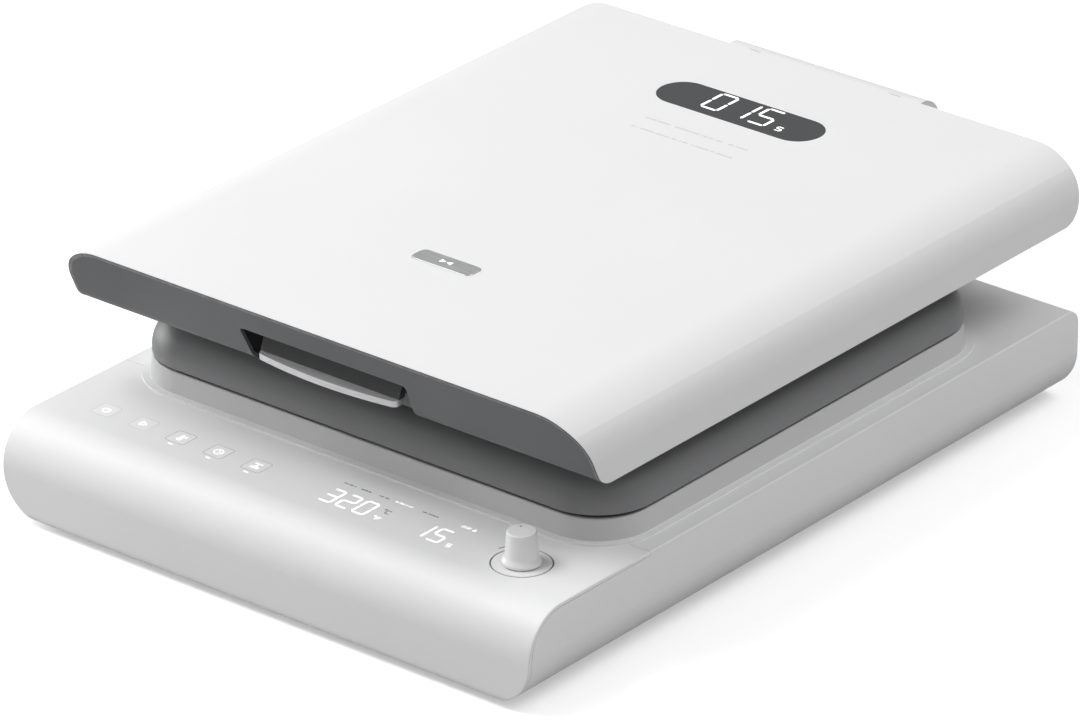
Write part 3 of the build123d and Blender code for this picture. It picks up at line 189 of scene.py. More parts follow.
# Skin of moulded or coated parts: broad clouding of the tone, patches of duller gloss,
# a fine grain, and a little dust on what faces up.
dust_tone = (0.52, 0.50, 0.46)
noise_middle = 0.5
skin, given, result = shared_effect("moulded_skin", [
    ("Colour", "c"), ("Tone", "f"), ("Cell", "f"), ("Roughness", "f"), ("Spread", "f"), ("Dust", "f")],
    [("Colour", "c"), ("Roughness", "f"), ("Height", "f")])
place = place_node(skin, "ShaderNodeTexCoord")
clouds = place_node(skin, "ShaderNodeTexNoise", values={"Scale": 7.0, "Detail": 3.0, "Roughness": 0.5},
                    links={"Vector": place.outputs["Object"]})
cloud_tone = place_node(skin, "ShaderNodeMapRange", links={"Value": clouds.outputs["Fac"]},
                        values={"From Min": 0.35, "From Max": 0.65, "To Min": 0.80, "To Max": 1.0})
toned = place_node(skin, "ShaderNodeMix", data_type="RGBA", blend_type="MULTIPLY",
                   links={0: given.outputs["Tone"], 6: given.outputs["Colour"],
                          7: cloud_tone.outputs["Result"]})
facing = place_node(skin, "ShaderNodeSeparateXYZ", links={0: place.outputs["Normal"]})
upper = place_node(skin, "ShaderNodeMapRange", values={"From Min": 0.6, "From Max": 1.0},
                   links={"Value": facing.outputs["Z"]})
specks = place_node(skin, "ShaderNodeTexNoise", values={"Scale": 90.0, "Detail": 4.0, "Roughness": 0.65},
                    links={"Vector": place.outputs["Object"]})
speck_mask = place_node(skin, "ShaderNodeMapRange", values={"From Min": 0.5, "From Max": 0.72},
                        links={"Value": specks.outputs["Fac"]})
dust = place_node(skin, "ShaderNodeMath", operation="MULTIPLY",
                  links={0: upper.outputs["Result"], 1: speck_mask.outputs["Result"]})
dust_share = place_node(skin, "ShaderNodeMath", operation="MULTIPLY",
                        links={0: dust.outputs[0], 1: given.outputs["Dust"]})
dusted = place_node(skin, "ShaderNodeMix", data_type="RGBA", values={7: (*dust_tone, 1)},
                    links={0: dust_share.outputs[0], 6: toned.outputs[2]})
skin.links.new(dusted.outputs[2], result.inputs["Colour"])
patches = place_node(skin, "ShaderNodeTexNoise", values={"Scale": 26.0, "Detail": 5.0, "Roughness": 0.6},
                     links={"Vector": place.outputs["Object"]})
centred = place_node(skin, "ShaderNodeMath", operation="SUBTRACT", values={1: noise_middle},
                     links={0: patches.outputs["Fac"]})
rough = place_node(skin, "ShaderNodeMath", operation="MULTIPLY_ADD",
                   links={0: centred.outputs[0], 1: given.outputs["Spread"], 2: given.outputs["Roughness"]})
skin.links.new(rough.outputs[0], result.inputs["Roughness"])
grain = place_node(skin, "ShaderNodeTexNoise", values={"Detail": 2.0, "Roughness": 0.5},
                   links={"Vector": place.outputs["Object"], "Scale": given.outputs["Cell"]})
skin.links.new(grain.outputs["Fac"], result.inputs["Height"])
worn_gloss = 0.12
edge_radius = 0.0007


def paled(colour, part):
    """Colour moved this part of the way to white."""
    return [part + (1 - part) * share for share in colour]


def wear_edges(tree, shader, colour, roughness, worn_colour, amount):
    """Joins a colour and a roughness to the shader, rubbed lighter and smoother along the edges."""
    rubbed = place_node(tree, "ShaderNodeGroup", node_tree=edge_wear,
                        values={"Radius": edge_radius, "Amount": amount})
    tint = place_node(tree, "ShaderNodeMix", data_type="RGBA", values={7: (*worn_colour, 1)},
                      links={0: rubbed.outputs["Mask"], 6: colour})
    tree.links.new(tint.outputs[2], shader.inputs["Base Color"])
    smoother = place_node(tree, "ShaderNodeMath", operation="MULTIPLY_ADD", values={1: -worn_gloss},
                          links={0: rubbed.outputs["Mask"], 2: roughness})
    tree.links.new(smoother.outputs[0], shader.inputs["Roughness"])


def moulded(name, colour, tone, cell, depth, roughness, spread, dust_amount=0.0, wear=0.35):
    """Material on the moulded_skin group. cell is grains a metre, depth the grain's height in metres."""
    material, tree, shader = bare_material(name)
    worked = place_node(tree, "ShaderNodeGroup", node_tree=skin, values={
        "Colour": (*colour, 1), "Tone": tone, "Cell": cell, "Roughness": roughness, "Spread": spread,
        "Dust": dust_amount})
    bump = place_node(tree, "ShaderNodeBump", values={"Strength": 1.0, "Distance": depth},
                      links={"Height": worked.outputs["Height"]})
    wear_edges(tree, shader, worked.outputs["Colour"], worked.outputs["Roughness"],
               paled(colour, 0.5), wear)
    tree.links.new(bump.outputs["Normal"], shader.inputs["Normal"])
    return material


def dress(material, *names):
    """Gives CAD nodes a material in each of their slots."""
    for name in names:
        for holder in nodes[name].material_slots:
            holder.material = material


deck_white = (0.87, 0.87, 0.875)
base_white = moulded("base_white", deck_white, tone=0.10, cell=900.0, depth=4e-6, roughness=0.50,
                     spread=0.10, wear=0.12)
dress(base_white, "main_shell", "front_cover")

# Bottom pan and rear panel: matte black plastic with a pebbled mould texture and air slots,
# and four rubber feet whose plugs snap into the pan.
powder_black = moulded("powder_black", (0.035, 0.035, 0.036), tone=0.5, cell=1800.0, depth=20e-6,
                       roughness=0.62, spread=0.12, dust_amount=0.10)
foot_rubber = moulded("foot_rubber", (0.022, 0.022, 0.022), tone=0.6, cell=2600.0, depth=25e-6,
                      roughness=0.85, spread=0.10, dust_amount=0.15)
dress(powder_black, "bottom_pan", "rear_panel")
dress(foot_rubber, "rubber_feet")

# Power inlet and switch: black moulded nylon with a sharper gloss than the panel, and the
# rocker with a finer sheen from fingers. The knob's plunger is of the same nylon.
nylon_black = moulded("nylon_black", (0.018, 0.018, 0.019), tone=0.4, cell=2200.0, depth=8e-6,
                      roughness=0.38, spread=0.14, dust_amount=0.08)
dress(nylon_black, "mains_inlet", "rocker_frame", "power_rocker", "encoder_plunger")

# Platform: a moulded casing on a grid of upright steel ribs, with an aluminium plate let into its
# top. Its thin flange keeps the deck's white; above the flange the casing is painted a darker grey,
# painted shade from the lid over it.
# Painted shade: this grey stands in for the shade under the lid; the casing's own colour is the deck's white.
shaded_casing_tone = (0.63, 0.63, 0.635)
flange_thickness = 0.0012
flange_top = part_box("platform_casing")[0][2] + flange_thickness
blend_start = flange_top + 0.0001
blend_end = flange_top + 0.0004
platform_grey = moulded("platform_grey", shaded_casing_tone, tone=0.12, cell=900.0, depth=3e-6, roughness=0.42,
                        spread=0.08, wear=0.10)
platform_tree = platform_grey.node_tree
place = place_node(platform_tree, "ShaderNodeTexCoord")
level = place_node(platform_tree, "ShaderNodeSeparateXYZ", links={0: place.outputs["Object"]})
above = place_node(platform_tree, "ShaderNodeMapRange", links={"Value": level.outputs["Z"]},
                   values={"From Min": blend_start, "From Max": blend_end})
# Painted shade: the deck's white on the flange, the darker painted-shade grey above it.
flange_white_and_shade = place_node(platform_tree, "ShaderNodeMix", data_type="RGBA", links={0: above.outputs["Result"]},
                      values={6: (*deck_white, 1), 7: (*shaded_casing_tone, 1)})
platform_skin = next(found for found in platform_tree.nodes
                     if found.type == "GROUP" and found.node_tree == skin)
platform_tree.links.new(flange_white_and_shade.outputs[2], platform_skin.inputs["Colour"])
dress(platform_grey, "platform_casing")

# Metal with drawn lines: a tone and a height that run along one direction, stretched by
# the Run vector, with darker mottling where it was handled.
drawn, given, result = shared_effect("drawn_metal", [
    ("Colour", "c"), ("Run", "v"), ("Roughness", "f"), ("Spread", "f"), ("Mottle", "f")],
    [("Colour", "c"), ("Roughness", "f"), ("Height", "f")])
place = place_node(drawn, "ShaderNodeTexCoord")
stretched = place_node(drawn, "ShaderNodeVectorMath", operation="MULTIPLY",
                       links={0: place.outputs["Object"], 1: given.outputs["Run"]})
lines = place_node(drawn, "ShaderNodeTexNoise", values={"Scale": 1.0, "Detail": 5.0, "Roughness": 0.6},
                   links={"Vector": stretched.outputs[0]})
spots = place_node(drawn, "ShaderNodeTexNoise", values={"Scale": 38.0, "Detail": 4.0},
                   links={"Vector": place.outputs["Object"]})
spot_tone = place_node(drawn, "ShaderNodeMapRange", links={"Value": spots.outputs["Fac"]},
                       values={"From Min": 0.4, "From Max": 0.7, "To Min": 1.0, "To Max": 0.55})
spotted = place_node(drawn, "ShaderNodeMix", data_type="RGBA", blend_type="MULTIPLY",
                     links={0: given.outputs["Mottle"], 6: given.outputs["Colour"],
                            7: spot_tone.outputs["Result"]})
line_tone = place_node(drawn, "ShaderNodeMapRange", links={"Value": lines.outputs["Fac"]},
                       values={"From Min": 0.3, "From Max": 0.7, "To Min": 0.82, "To Max": 1.08})
lined = place_node(drawn, "ShaderNodeMix", data_type="RGBA", blend_type="MULTIPLY", values={0: 1.0},
                   links={6: spotted.outputs[2], 7: line_tone.outputs["Result"]})
drawn.links.new(lined.outputs[2], result.inputs["Colour"])
centred = place_node(drawn, "ShaderNodeMath", operation="SUBTRACT", values={1: noise_middle},
                     links={0: lines.outputs["Fac"]})
rough = place_node(drawn, "ShaderNodeMath", operation="MULTIPLY_ADD",
                   links={0: centred.outputs[0], 1: given.outputs["Spread"], 2: given.outputs["Roughness"]})
drawn.links.new(rough.outputs[0], result.inputs["Roughness"])
drawn.links.new(lines.outputs["Fac"], result.inputs["Height"])
metal_wear = 0.5


def metal(name, colour, run, roughness, spread, mottle, depth, metallic=1.0):
    """Material on the drawn_metal group. run gives the lines a metre along X, Y and Z."""
    material, tree, shader = bare_material(name)
    worked = place_node(tree, "ShaderNodeGroup", node_tree=drawn, values={
        "Colour": (*colour, 1), "Run": run, "Roughness": roughness, "Spread": spread, "Mottle": mottle})
    bump = place_node(tree, "ShaderNodeBump", values={"Strength": 1.0, "Distance": depth},
                      links={"Height": worked.outputs["Height"]})
    wear_edges(tree, shader, worked.outputs["Colour"], worked.outputs["Roughness"],
               paled(colour, 0.4), metal_wear)
    tree.links.new(bump.outputs["Normal"], shader.inputs["Normal"])
    shader.inputs["Metallic"].default_value = metallic
    return material


zinc_steel = metal("zinc_steel", (0.56, 0.57, 0.58), run=(60.0, 700.0, 60.0), roughness=0.40,
                   spread=0.20, mottle=0.45, depth=4e-6)
rolled_aluminium = metal("rolled_aluminium", (0.74, 0.74, 0.75), run=(40.0, 900.0, 900.0), roughness=0.34,
                         spread=0.18, mottle=0.20, depth=3e-6)
ground_steel = metal("ground_steel", (0.68, 0.68, 0.69), run=(300.0, 300.0, 2200.0), roughness=0.18,
                     spread=0.12, mottle=0.10, depth=2e-6)
dress(zinc_steel, "platform_frame", "hinge_bracket", "lid_arms", "platen_pillars", "lid_frame")
dress(rolled_aluminium, "pad_plate", "heat_plate", "carrier_plate")

# Pressing pad: a silicone sheet 2.5 mm thick, cut with round corners, lying on the plate.
# Its edge is a soft bulge, given as (inset, rise) in mm from its lower rim, and its top has
# a fine woven imprint from the mould.
pad_middle_y = -0.00225
pad_half = 0.20075
pad_round = 0.038
pad_least_round = 0.004
pad_low = 0.0855
pad_profile = np.array([(1.3, 0.0), (0.5, 0.15), (0.08, 0.7), (0.0, 1.2), (0.08, 1.75), (0.45, 2.3),
                        (1.3, 2.47), (4.0, 2.5), (40.0, 2.5)]) / 1000


def rounded_loop(half_x, half_y, corner, steps=12):
    """Loop of a rounded rectangle, counter-clockwise: four corner centres plus a quarter turn at each."""
    turn = (np.arange(4)[:, None] + np.linspace(0, 1, steps)[None, :]) * math.pi / 2
    sign = np.array([(1, 1), (-1, 1), (-1, -1), (1, -1)])[:, None, :]
    centre = sign * np.array([half_x - corner, half_y - corner])
    return (centre + corner * np.stack([np.cos(turn), np.sin(turn)], -1)).reshape(-1, 2)


def loop_faces(rows, columns, caps=True):
    """Quads between closed loops in rows, outward where the loops run counter-clockwise as they rise."""
    row, column = np.meshgrid(np.arange(rows - 1), np.arange(columns), indexing="ij")
    after = (column + 1) % columns
    quads = np.stack([row * columns + column, row * columns + after, (row + 1) * columns + after,
                      (row + 1) * columns + column], -1).reshape(-1, 4).tolist()
    if caps:
        quads += [list(range(columns))[::-1], list(range((rows - 1) * columns, rows * columns))]
    return quads


pad_silicone = moulded("pad_silicone", (0.030, 0.030, 0.032), tone=0.4, cell=1500.0, depth=30e-6,
                       roughness=0.70, spread=0.10)
weave_tree = pad_silicone.node_tree
pad_place = place_node(weave_tree, "ShaderNodeTexCoord")
threads_x, threads_y = [
    place_node(weave_tree, "ShaderNodeTexWave", wave_type="BANDS", bands_direction=axis,
               values={"Scale": 220.0}, links={"Vector": pad_place.outputs["Object"]}) for axis in "XY"]
imprint = place_node(weave_tree, "ShaderNodeMath", operation="MAXIMUM",
                     links={0: threads_x.outputs["Fac"], 1: threads_y.outputs["Fac"]})
pad_bump = next(found for found in weave_tree.nodes if found.bl_idname == "ShaderNodeBump")
weave_tree.links.new(imprint.outputs[0], pad_bump.inputs["Height"])
rings = []
for inset, rise in pad_profile:
    loop = rounded_loop(pad_half - inset, pad_half - inset, max(pad_round - inset, pad_least_round))
    rings.append(np.column_stack([loop[:, 0], loop[:, 1] + pad_middle_y, np.full(len(loop), pad_low + rise)]))
rings = np.array(rings)
pressing_pad = mesh_piece("pressing_pad", rings, loop_faces(*rings.shape[:2]), pad_silicone)
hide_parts("silicone_pad")
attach(pressing_pad, "base")

# Boards and modules under the panel: green laminate with soldered traces, black relays and
# a light box, steel contacts and the encoder's zinc body. They are screwed to bosses.
laminate, tree, shader = bare_material("laminate_green")
place = place_node(tree, "ShaderNodeTexCoord")
traces = place_node(tree, "ShaderNodeTexBrick", offset=0.4, squash=0.6,
                    values={"Scale": 160.0, "Mortar Size": 0.06, "Color1": (0.010, 0.085, 0.035, 1),
                            "Color2": (0.012, 0.10, 0.04, 1), "Mortar": (0.03, 0.20, 0.07, 1)},
                    links={"Vector": place.outputs["Object"]})
tree.links.new(traces.outputs["Color"], shader.inputs["Base Color"])
solder = place_node(tree, "ShaderNodeBump", values={"Strength": 0.6, "Distance": 30e-6},
                    links={"Height": traces.outputs["Fac"]})
tree.links.new(solder.outputs["Normal"], shader.inputs["Normal"])
shader.inputs["Roughness"].default_value = 0.35
dress(laminate, "control_board", "power_board", "lid_display_board", "button_board")
module_black = moulded("module_black", (0.03, 0.03, 0.032), tone=0.4, cell=2600.0, depth=10e-6,
                       roughness=0.5, spread=0.15)
dress(module_black, "power_parts", "panel_display", "thermostat")
dress(ground_steel, "touch_springs", "encoder_shaft", "handle_springs", "frame_screws")
dress(zinc_steel, "encoder")

# Control panel: two sets of digits and small signs that shine through the panel's skin. The
# lit parts are white and the resting ones are printed in grey.
panel_top = 0.0695
mark_rise = 0.00004
mark_sink = 0.00003


def stroke_outlines(strokes, width):
    """Six-cornered outlines of strokes (x0, y0, x1, y1): straight bars whose ends come to a blunt point."""
    ends = np.asarray(strokes, dtype=float).reshape(-1, 2, 2)
    run = ends[:, 1] - ends[:, 0]
    run = run / np.linalg.norm(run, axis=1, keepdims=True)
    side = np.stack([-run[:, 1], run[:, 0]], -1) * width / 2
    step = run * width / 2
    return np.stack([ends[:, 0], ends[:, 0] + step - side, ends[:, 1] - step - side, ends[:, 1],
                     ends[:, 1] - step + side, ends[:, 0] + step + side], 1)


def flat_marks(name, outlines, surface, material, body):
    """Thin closed prisms over outlines of shape (marks, corners, 2), just proud of a level surface."""
    outlines = np.asarray(outlines, dtype=float)
    count, corners = outlines.shape[:2]
    low = np.concatenate([outlines, np.full((count, corners, 1), surface - mark_sink)], -1)
    high = np.concatenate([outlines, np.full((count, corners, 1), surface + mark_rise)], -1)
    points = np.concatenate([low, high], 1)
    faces = []
    for start in range(0, count * corners * 2, corners * 2):
        faces += (np.array(loop_faces(2, corners, caps=False)) + start).tolist()
        faces += [[start + k for k in range(corners)][::-1], [start + corners + k for k in range(corners)]]
    piece = mesh_piece(name, points, faces, material, smooth=False)
    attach(piece, body)


segment_lines = {"a": (0, 2, 1, 2), "b": (1, 1, 1, 2), "c": (1, 0, 1, 1), "d": (0, 0, 1, 0),
                 "e": (0, 0, 0, 1), "f": (0, 1, 0, 2), "g": (0, 1, 1, 1)}
digit_segments = {"0": "abcdef", "1": "bc", "2": "abged", "3": "abgcd", "5": "afgcd"}


def digit_strokes(digit, left, low, width, height, gap):
    """Seven-bar digit on a cell from (left, low): each lit bar, drawn short of its neighbours by gap."""
    strokes = []
    for letter in digit_segments[digit]:
        x0, y0, x1, y1 = segment_lines[letter]
        start = np.array([left + x0 * width, low + y0 * height / 2])
        end = np.array([left + x1 * width, low + y1 * height / 2])
        run = (end - start) / np.linalg.norm(end - start) * gap
        strokes.append((*(start + run), *(end - run)))
    return strokes


def printed(name, colour, roughness, glow=0.0):
    """Film for ink, lit marks, painted glow and painted shadow: thin, with slight unevenness, and its own
    light where it is lit.
    """
    material = moulded(name, colour, tone=0.10, cell=3000.0, depth=2e-6, roughness=roughness, spread=0.10)
    shader = material.node_tree.nodes["Principled BSDF"]
    shader.inputs["Emission Color"].default_value = (1.0, 1.0, 1.0, 1)
    shader.inputs["Emission Strength"].default_value = glow
    return material


lit_white = printed("lit_white", (0.95, 0.95, 0.95), roughness=0.4, glow=0.75)
print_and_shade_grey = printed("print_and_shade_grey", (0.16, 0.16, 0.165), roughness=0.5)
key_line_dark = printed("key_line_dark", (0.42, 0.42, 0.42), roughness=0.5)
key_line_pale = printed("key_line_pale", (0.66, 0.66, 0.66), roughness=0.5)

panel_digit = {"low": -0.2616, "width": 0.0091, "height": 0.0177, "gap": 0.0002}
panel_strokes = []
for digit, left in (("3", 0.0107), ("2", 0.0245), ("0", 0.0384), ("1", 0.0865), ("5", 0.1003)):
    panel_strokes += digit_strokes(digit, left, **panel_digit)
flat_marks("panel_digits", stroke_outlines(panel_strokes, width=0.0017), panel_top, lit_white,
           "base")


def unit_strokes(letter, left, low, size):
    """Strokes of a small unit sign: s, F, C or the degree's o, on a square of this size."""
    shapes = {"s": [(0.9, 1, 0.1, 1), (0.1, 1, 0.1, 0.5), (0.1, 0.5, 0.9, 0.5), (0.9, 0.5, 0.9, 0),
                    (0.9, 0, 0.1, 0)],
              "F": [(0.1, 0, 0.1, 1), (0.1, 1, 0.9, 1), (0.1, 0.5, 0.7, 0.5)],
              "C": [(0.9, 1, 0.1, 1), (0.1, 1, 0.1, 0), (0.1, 0, 0.9, 0)],
              "o": [(0, 0.7, 0.3, 0.7), (0.3, 0.7, 0.3, 1), (0.3, 1, 0, 1), (0, 1, 0, 0.7)]}
    return [(left + x0 * size, low + y0 * size, left + x1 * size, low + y1 * size)
            for x0, y0, x1, y1 in shapes[letter]]


unit_size = 0.0042
unit_width = 0.0007
lit_units = unit_strokes("o", left=0.0549, low=-0.2612, size=unit_size)
lit_units += unit_strokes("F", left=0.0569, low=-0.2620, size=unit_size)
lit_units += unit_strokes("s", left=0.1158, low=-0.2618, size=0.0040)
flat_marks("panel_lit_units", stroke_outlines(lit_units, unit_width), panel_top, lit_white,
           "base")
dim_units = unit_strokes("o", left=0.0545, low=-0.2500, size=unit_size)
dim_units += unit_strokes("C", left=0.0565, low=-0.2508, size=unit_size)
flat_marks("panel_dim_units", stroke_outlines(dim_units, unit_width), panel_top, print_and_shade_grey,
           "base")
sign_least = 0.55
sign_gaps = 0.12


def sign_bars(start, end, middle_y, height, pitch, lean, seed):
    """Row of small upright bars: x runs evenly, and each height is a seeded share of the full one."""
    places = np.arange(start, end, pitch)
    share = np.random.default_rng(seed).uniform(sign_least, 1.0, len(places))
    keep = np.random.default_rng(seed + 50).uniform(0, 1, len(places)) > sign_gaps
    half = height / 2 * share
    bars = np.column_stack([places - lean * half, middle_y - half, places + lean * half, middle_y + half])
    return bars[keep]


panel_sign = {"pitch": 0.0012, "lean": 0.2}
dim_places = [(0.0100, 0.0188), (0.0240, 0.0320), (0.0392, 0.0470), (0.0742, 0.0886)]
dim_signs = np.vstack([sign_bars(x0, x1, middle_y=-0.2338, height=0.0021, seed=seed, **panel_sign)
                       for seed, (x0, x1) in enumerate(dim_places)])
flat_marks("panel_dim_signs", stroke_outlines(dim_signs, width=0.0009), panel_top, print_and_shade_grey,
           "base")
lit_signs = sign_bars(start=0.0528, end=0.0678, middle_y=-0.2336, height=0.0024, seed=9, **panel_sign)
lit_bars = np.column_stack([np.array([0.1076, 0.1096, 0.1116, 0.1133]), np.full(4, -0.2352),
                            np.array([0.1084, 0.1104, 0.1124, 0.1139]), np.full(4, -0.2318)])
lit_strokes = np.vstack([lit_signs, lit_bars])
flat_marks("panel_lit_signs", stroke_outlines(lit_strokes, width=0.0008), panel_top, lit_white,
           "base")
bell_middle = np.array([0.1176, -0.2334])
bell = np.array([[(-1.6, -1.5), (1.6, -1.5), (1.0, -0.4), (0.8, 0.9), (0.0, 1.6), (-0.8, 0.9),
                  (-1.0, -0.4)]]) / 1000
flat_marks("panel_bell", bell + bell_middle, panel_top, lit_white, "base")

# Touch keys: a printed rounded outline with a lit sign in each, and a small lit dash in
# front of the three on the right. The signs' strokes are in mm from the middle of a key.
key_places = np.array([-0.1805, -0.1480, -0.1155, -0.0830, -0.0505])
key_row_y = -0.25125
key_half = 0.0080
key_inner_half = key_half - 0.00045
key_round = 0.0022
key_inner_round = 0.0018
key_steps = 6


def loop_band(outer, inner, surface):
    """Points of a flat band between two loops: a rectangle of four corners carried round them."""
    low = surface - mark_sink
    high = surface + mark_rise
    corners = [np.column_stack([loop, np.full(len(loop), level)])
               for loop, level in ((outer, low), (outer, high), (inner, high), (inner, low))]
    return np.array(corners)


def key_outline(name, places, material):
    """Closed outlines of keys, one band each, joined in one mesh."""
    points, faces = [], []
    for x in places:
        outer = rounded_loop(key_half, key_half, key_round, key_steps) + (x, key_row_y)
        inner = rounded_loop(key_inner_half, key_inner_half, key_inner_round, key_steps) + (x, key_row_y)
        band = loop_band(outer, inner, panel_top)
        corners, count = band.shape[:2]
        row, column = np.meshgrid(np.arange(corners), np.arange(count), indexing="ij")
        after = (column + 1) % count
        following = (row + 1) % corners
        quads = np.stack([row * count + column, row * count + after, following * count + after,
                          following * count + column], -1)
        faces += (quads.reshape(-1, 4) + len(points) * corners * count).tolist()
        points.append(band.reshape(-1, 3))
    piece = mesh_piece(name, np.vstack(points), faces, material, smooth=False)
    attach(piece, "base")


# Painted light: each key's face is a little whiter than the panel, painted glow from its lit sign.
key_glow_white = printed("key_glow_white", (0.93, 0.93, 0.93), roughness=0.35)
key_glow_faces = [rounded_loop(key_inner_half, key_inner_half, key_inner_round, key_steps) + (x, key_row_y)
             for x in key_places]
flat_marks("key_glow_faces", key_glow_faces, panel_top - mark_rise / 2, key_glow_white, "base")
key_outline("key_outlines_pale", key_places[:2], key_line_pale)
key_outline("key_outlines_dark", key_places[2:], key_line_dark)
key_signs = {
    0: [(0, 0.8, 0, 3.2), (-1.8, 2.2, -2.9, 0.2), (-2.9, 0.2, -2.2, -2.0), (-2.2, -2.0, 0, -3.0),
        (0, -3.0, 2.2, -2.0), (2.2, -2.0, 2.9, 0.2), (2.9, 0.2, 1.8, 2.2)],
    1: [(-2.2, -2.8, -2.2, 2.8), (-2.2, 2.8, 2.6, 0), (2.6, 0, -2.2, -2.8)],
    2: [(-0.9, -1.2, -0.9, 3.4), (0.9, -1.2, 0.9, 3.4), (-0.9, 3.4, 0.9, 3.4), (-0.9, -1.2, -1.8, -2.6),
        (-1.8, -2.6, 0, -3.8), (0, -3.8, 1.8, -2.6), (1.8, -2.6, 0.9, -1.2), (2.2, 3.0, 3.8, 3.0),
        (2.2, 1.2, 3.8, 1.2), (0, -2.4, 0, 1.4)],
    3: [(0, 0, 0, 2.2), (0, 0, 1.6, 0), (3.4, 0, 2.4, 2.4), (2.4, 2.4, 0, 3.4), (0, 3.4, -2.4, 2.4),
        (-2.4, 2.4, -3.4, 0), (-3.4, 0, -2.4, -2.4), (-2.4, -2.4, 0, -3.4), (0, -3.4, 2.4, -2.4),
        (2.4, -2.4, 3.4, 0)],
    4: [(-3.6, 3.0, 3.6, 3.0), (-3.6, -3.0, 3.6, -3.0), (0, 2.2, 0, -1.2), (-1.4, 0.2, 0, -1.2),
        (0, -1.2, 1.4, 0.2), (-3.6, -1.8, 3.6, -1.8)],
}
sign_strokes = np.vstack([np.array(strokes) / 1000 + np.array([key_places[key], key_row_y] * 2)
                          for key, strokes in key_signs.items()])
flat_marks("key_signs", stroke_outlines(sign_strokes, width=0.0009), panel_top, lit_white,
           "base")
dash_half = 0.0021
dash_y = -0.2620
dashes = np.array([(x - dash_half, dash_y, x + dash_half, dash_y) for x in key_places[2:]])
flat_marks("key_dashes", stroke_outlines(dashes, width=0.0011), panel_top, lit_white, "base")

# Knob: turned from light plastic with a flared foot and a dark dot in its top, standing in a
# groove of the panel whose floor is painted dark as painted shadow. A short printed arc beside it
# shows which way to turn.
knob_white = moulded("knob_white", (0.86, 0.86, 0.86), tone=0.08, cell=2400.0, depth=4e-6, roughness=0.30,
                     spread=0.10, wear=0.15)
dress(knob_white, "knob")
knob_middle = np.array([0.1690, -0.24925])
dot_place = (-0.0042, 0.0042)
dot_radius = 0.00085
dot_floor = 0.0919
groove_depth = 0.0005
ring_step = 30


def arc_outline(radius, width, start, end, steps=9):
    """Outline of an arc: out along the larger radius and back along the smaller, angles in degrees."""
    turn = np.radians(np.linspace(start, end, steps))
    outer = (radius + width / 2) * np.stack([np.cos(turn), np.sin(turn)], -1)
    inner = (radius - width / 2) * np.stack([np.cos(turn[::-1]), np.sin(turn[::-1])], -1)
    return np.concatenate([outer, inner]) + knob_middle


dot_turn = np.linspace(0, 2 * math.pi, 20, endpoint=False)
knob_dot = knob_middle + dot_place + dot_radius * np.stack([np.cos(dot_turn), np.sin(dot_turn)], -1)
flat_marks("knob_dot", [knob_dot], dot_floor, print_and_shade_grey, "knob")
# Painted shadow: a dark ring on the groove's floor, where the groove lies in shade.
groove_shadow_parts = [arc_outline(radius=0.0200, width=0.0010, start=start, end=start + ring_step)
              for start in range(0, 360, ring_step)]
flat_marks("knob_groove_shadow", groove_shadow_parts, panel_top - groove_depth + mark_sink, print_and_shade_grey, "base")
turn_arc = [arc_outline(radius=0.0246, width=0.0008, start=138, end=166)]
flat_marks("knob_turn_arc", turn_arc, panel_top, print_and_shade_grey, "base")

# Hinge tower: two moulded covers in the lid's white that close round a steel bracket, with
# flanged bronze bushes in its cheeks and a ground shaft that turns with the lid's arms.
lid_white = moulded("lid_white", (0.805, 0.805, 0.81), tone=0.06, cell=1100.0, depth=4e-6, roughness=0.46,
                    spread=0.10, wear=0.12)
bronze = metal("bushing_bronze", (0.60, 0.42, 0.20), run=(500.0, 500.0, 60.0), roughness=0.30, spread=0.15,
               mottle=0.35, depth=3e-6)
shaft_steel = metal("shaft_steel", (0.66, 0.66, 0.67), run=(2200.0, 260.0, 260.0), roughness=0.20,
                    spread=0.12, mottle=0.15, depth=2e-6)
dress(lid_white, "tower_front_cover", "tower_rear_cover")
dress(bronze, "hinge_bushes", "lead_nut", "guide_bushes")
dress(shaft_steel, "hinge_shaft", "handle_pin")

# Upper platen: a softly rounded casing with an even dark satin coating round the heated
# plate, and the plate's element, wool and posts inside it.
casing_grey = moulded("casing_grey", (0.225, 0.227, 0.232), tone=0.15, cell=900.0, depth=5e-6,
                      roughness=0.38, spread=0.12)
dress(casing_grey, "platen_casing")
dress(module_black, "platen_trim")
sheath = metal("element_sheath", (0.34, 0.31, 0.28), run=(300.0, 60.0, 300.0), roughness=0.45, spread=0.2,
               mottle=0.5, depth=4e-6)
dress(sheath, "heating_element")
mineral_wool = moulded("mineral_wool", (0.62, 0.56, 0.42), tone=0.8, cell=1400.0, depth=300e-6,
                       roughness=0.95, spread=0.05)
dress(mineral_wool, "insulation")
dress(ground_steel, "guide_posts")

# Lid: one white moulded shell over the top and sides, a dark undercut front, a dark rear
# cover and a dark underside with its deeper belly, all carried by the steel frame inside.
fascia_grey = moulded("fascia_grey", (0.115, 0.118, 0.123), tone=0.12, cell=1200.0, depth=5e-6,
                      roughness=0.42, spread=0.12)
dress(lid_white, "lid_shell")
dress(fascia_grey, "lid_fascia", "lid_rear_cover", "under_cover")

# Painted shade at the lid's front joint: a thin strip in the fascia's grey over the shell's cut front
# edge and the seam behind it, which leaves only a fine white rim. Its outer third is a darker line of
# painted shadow.
shell_low, shell_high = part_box("lid_shell")
front_slope = math.atan(0.47)
front_corner = 0.014
shoulder_x = 0.036
shoulder_z = 0.031
shoulder_growth = (shoulder_x - shoulder_z) / (math.sqrt(2) - 1)
shoulder_radius = shoulder_x - shoulder_growth / math.sqrt(2)
strip_start = 0.002


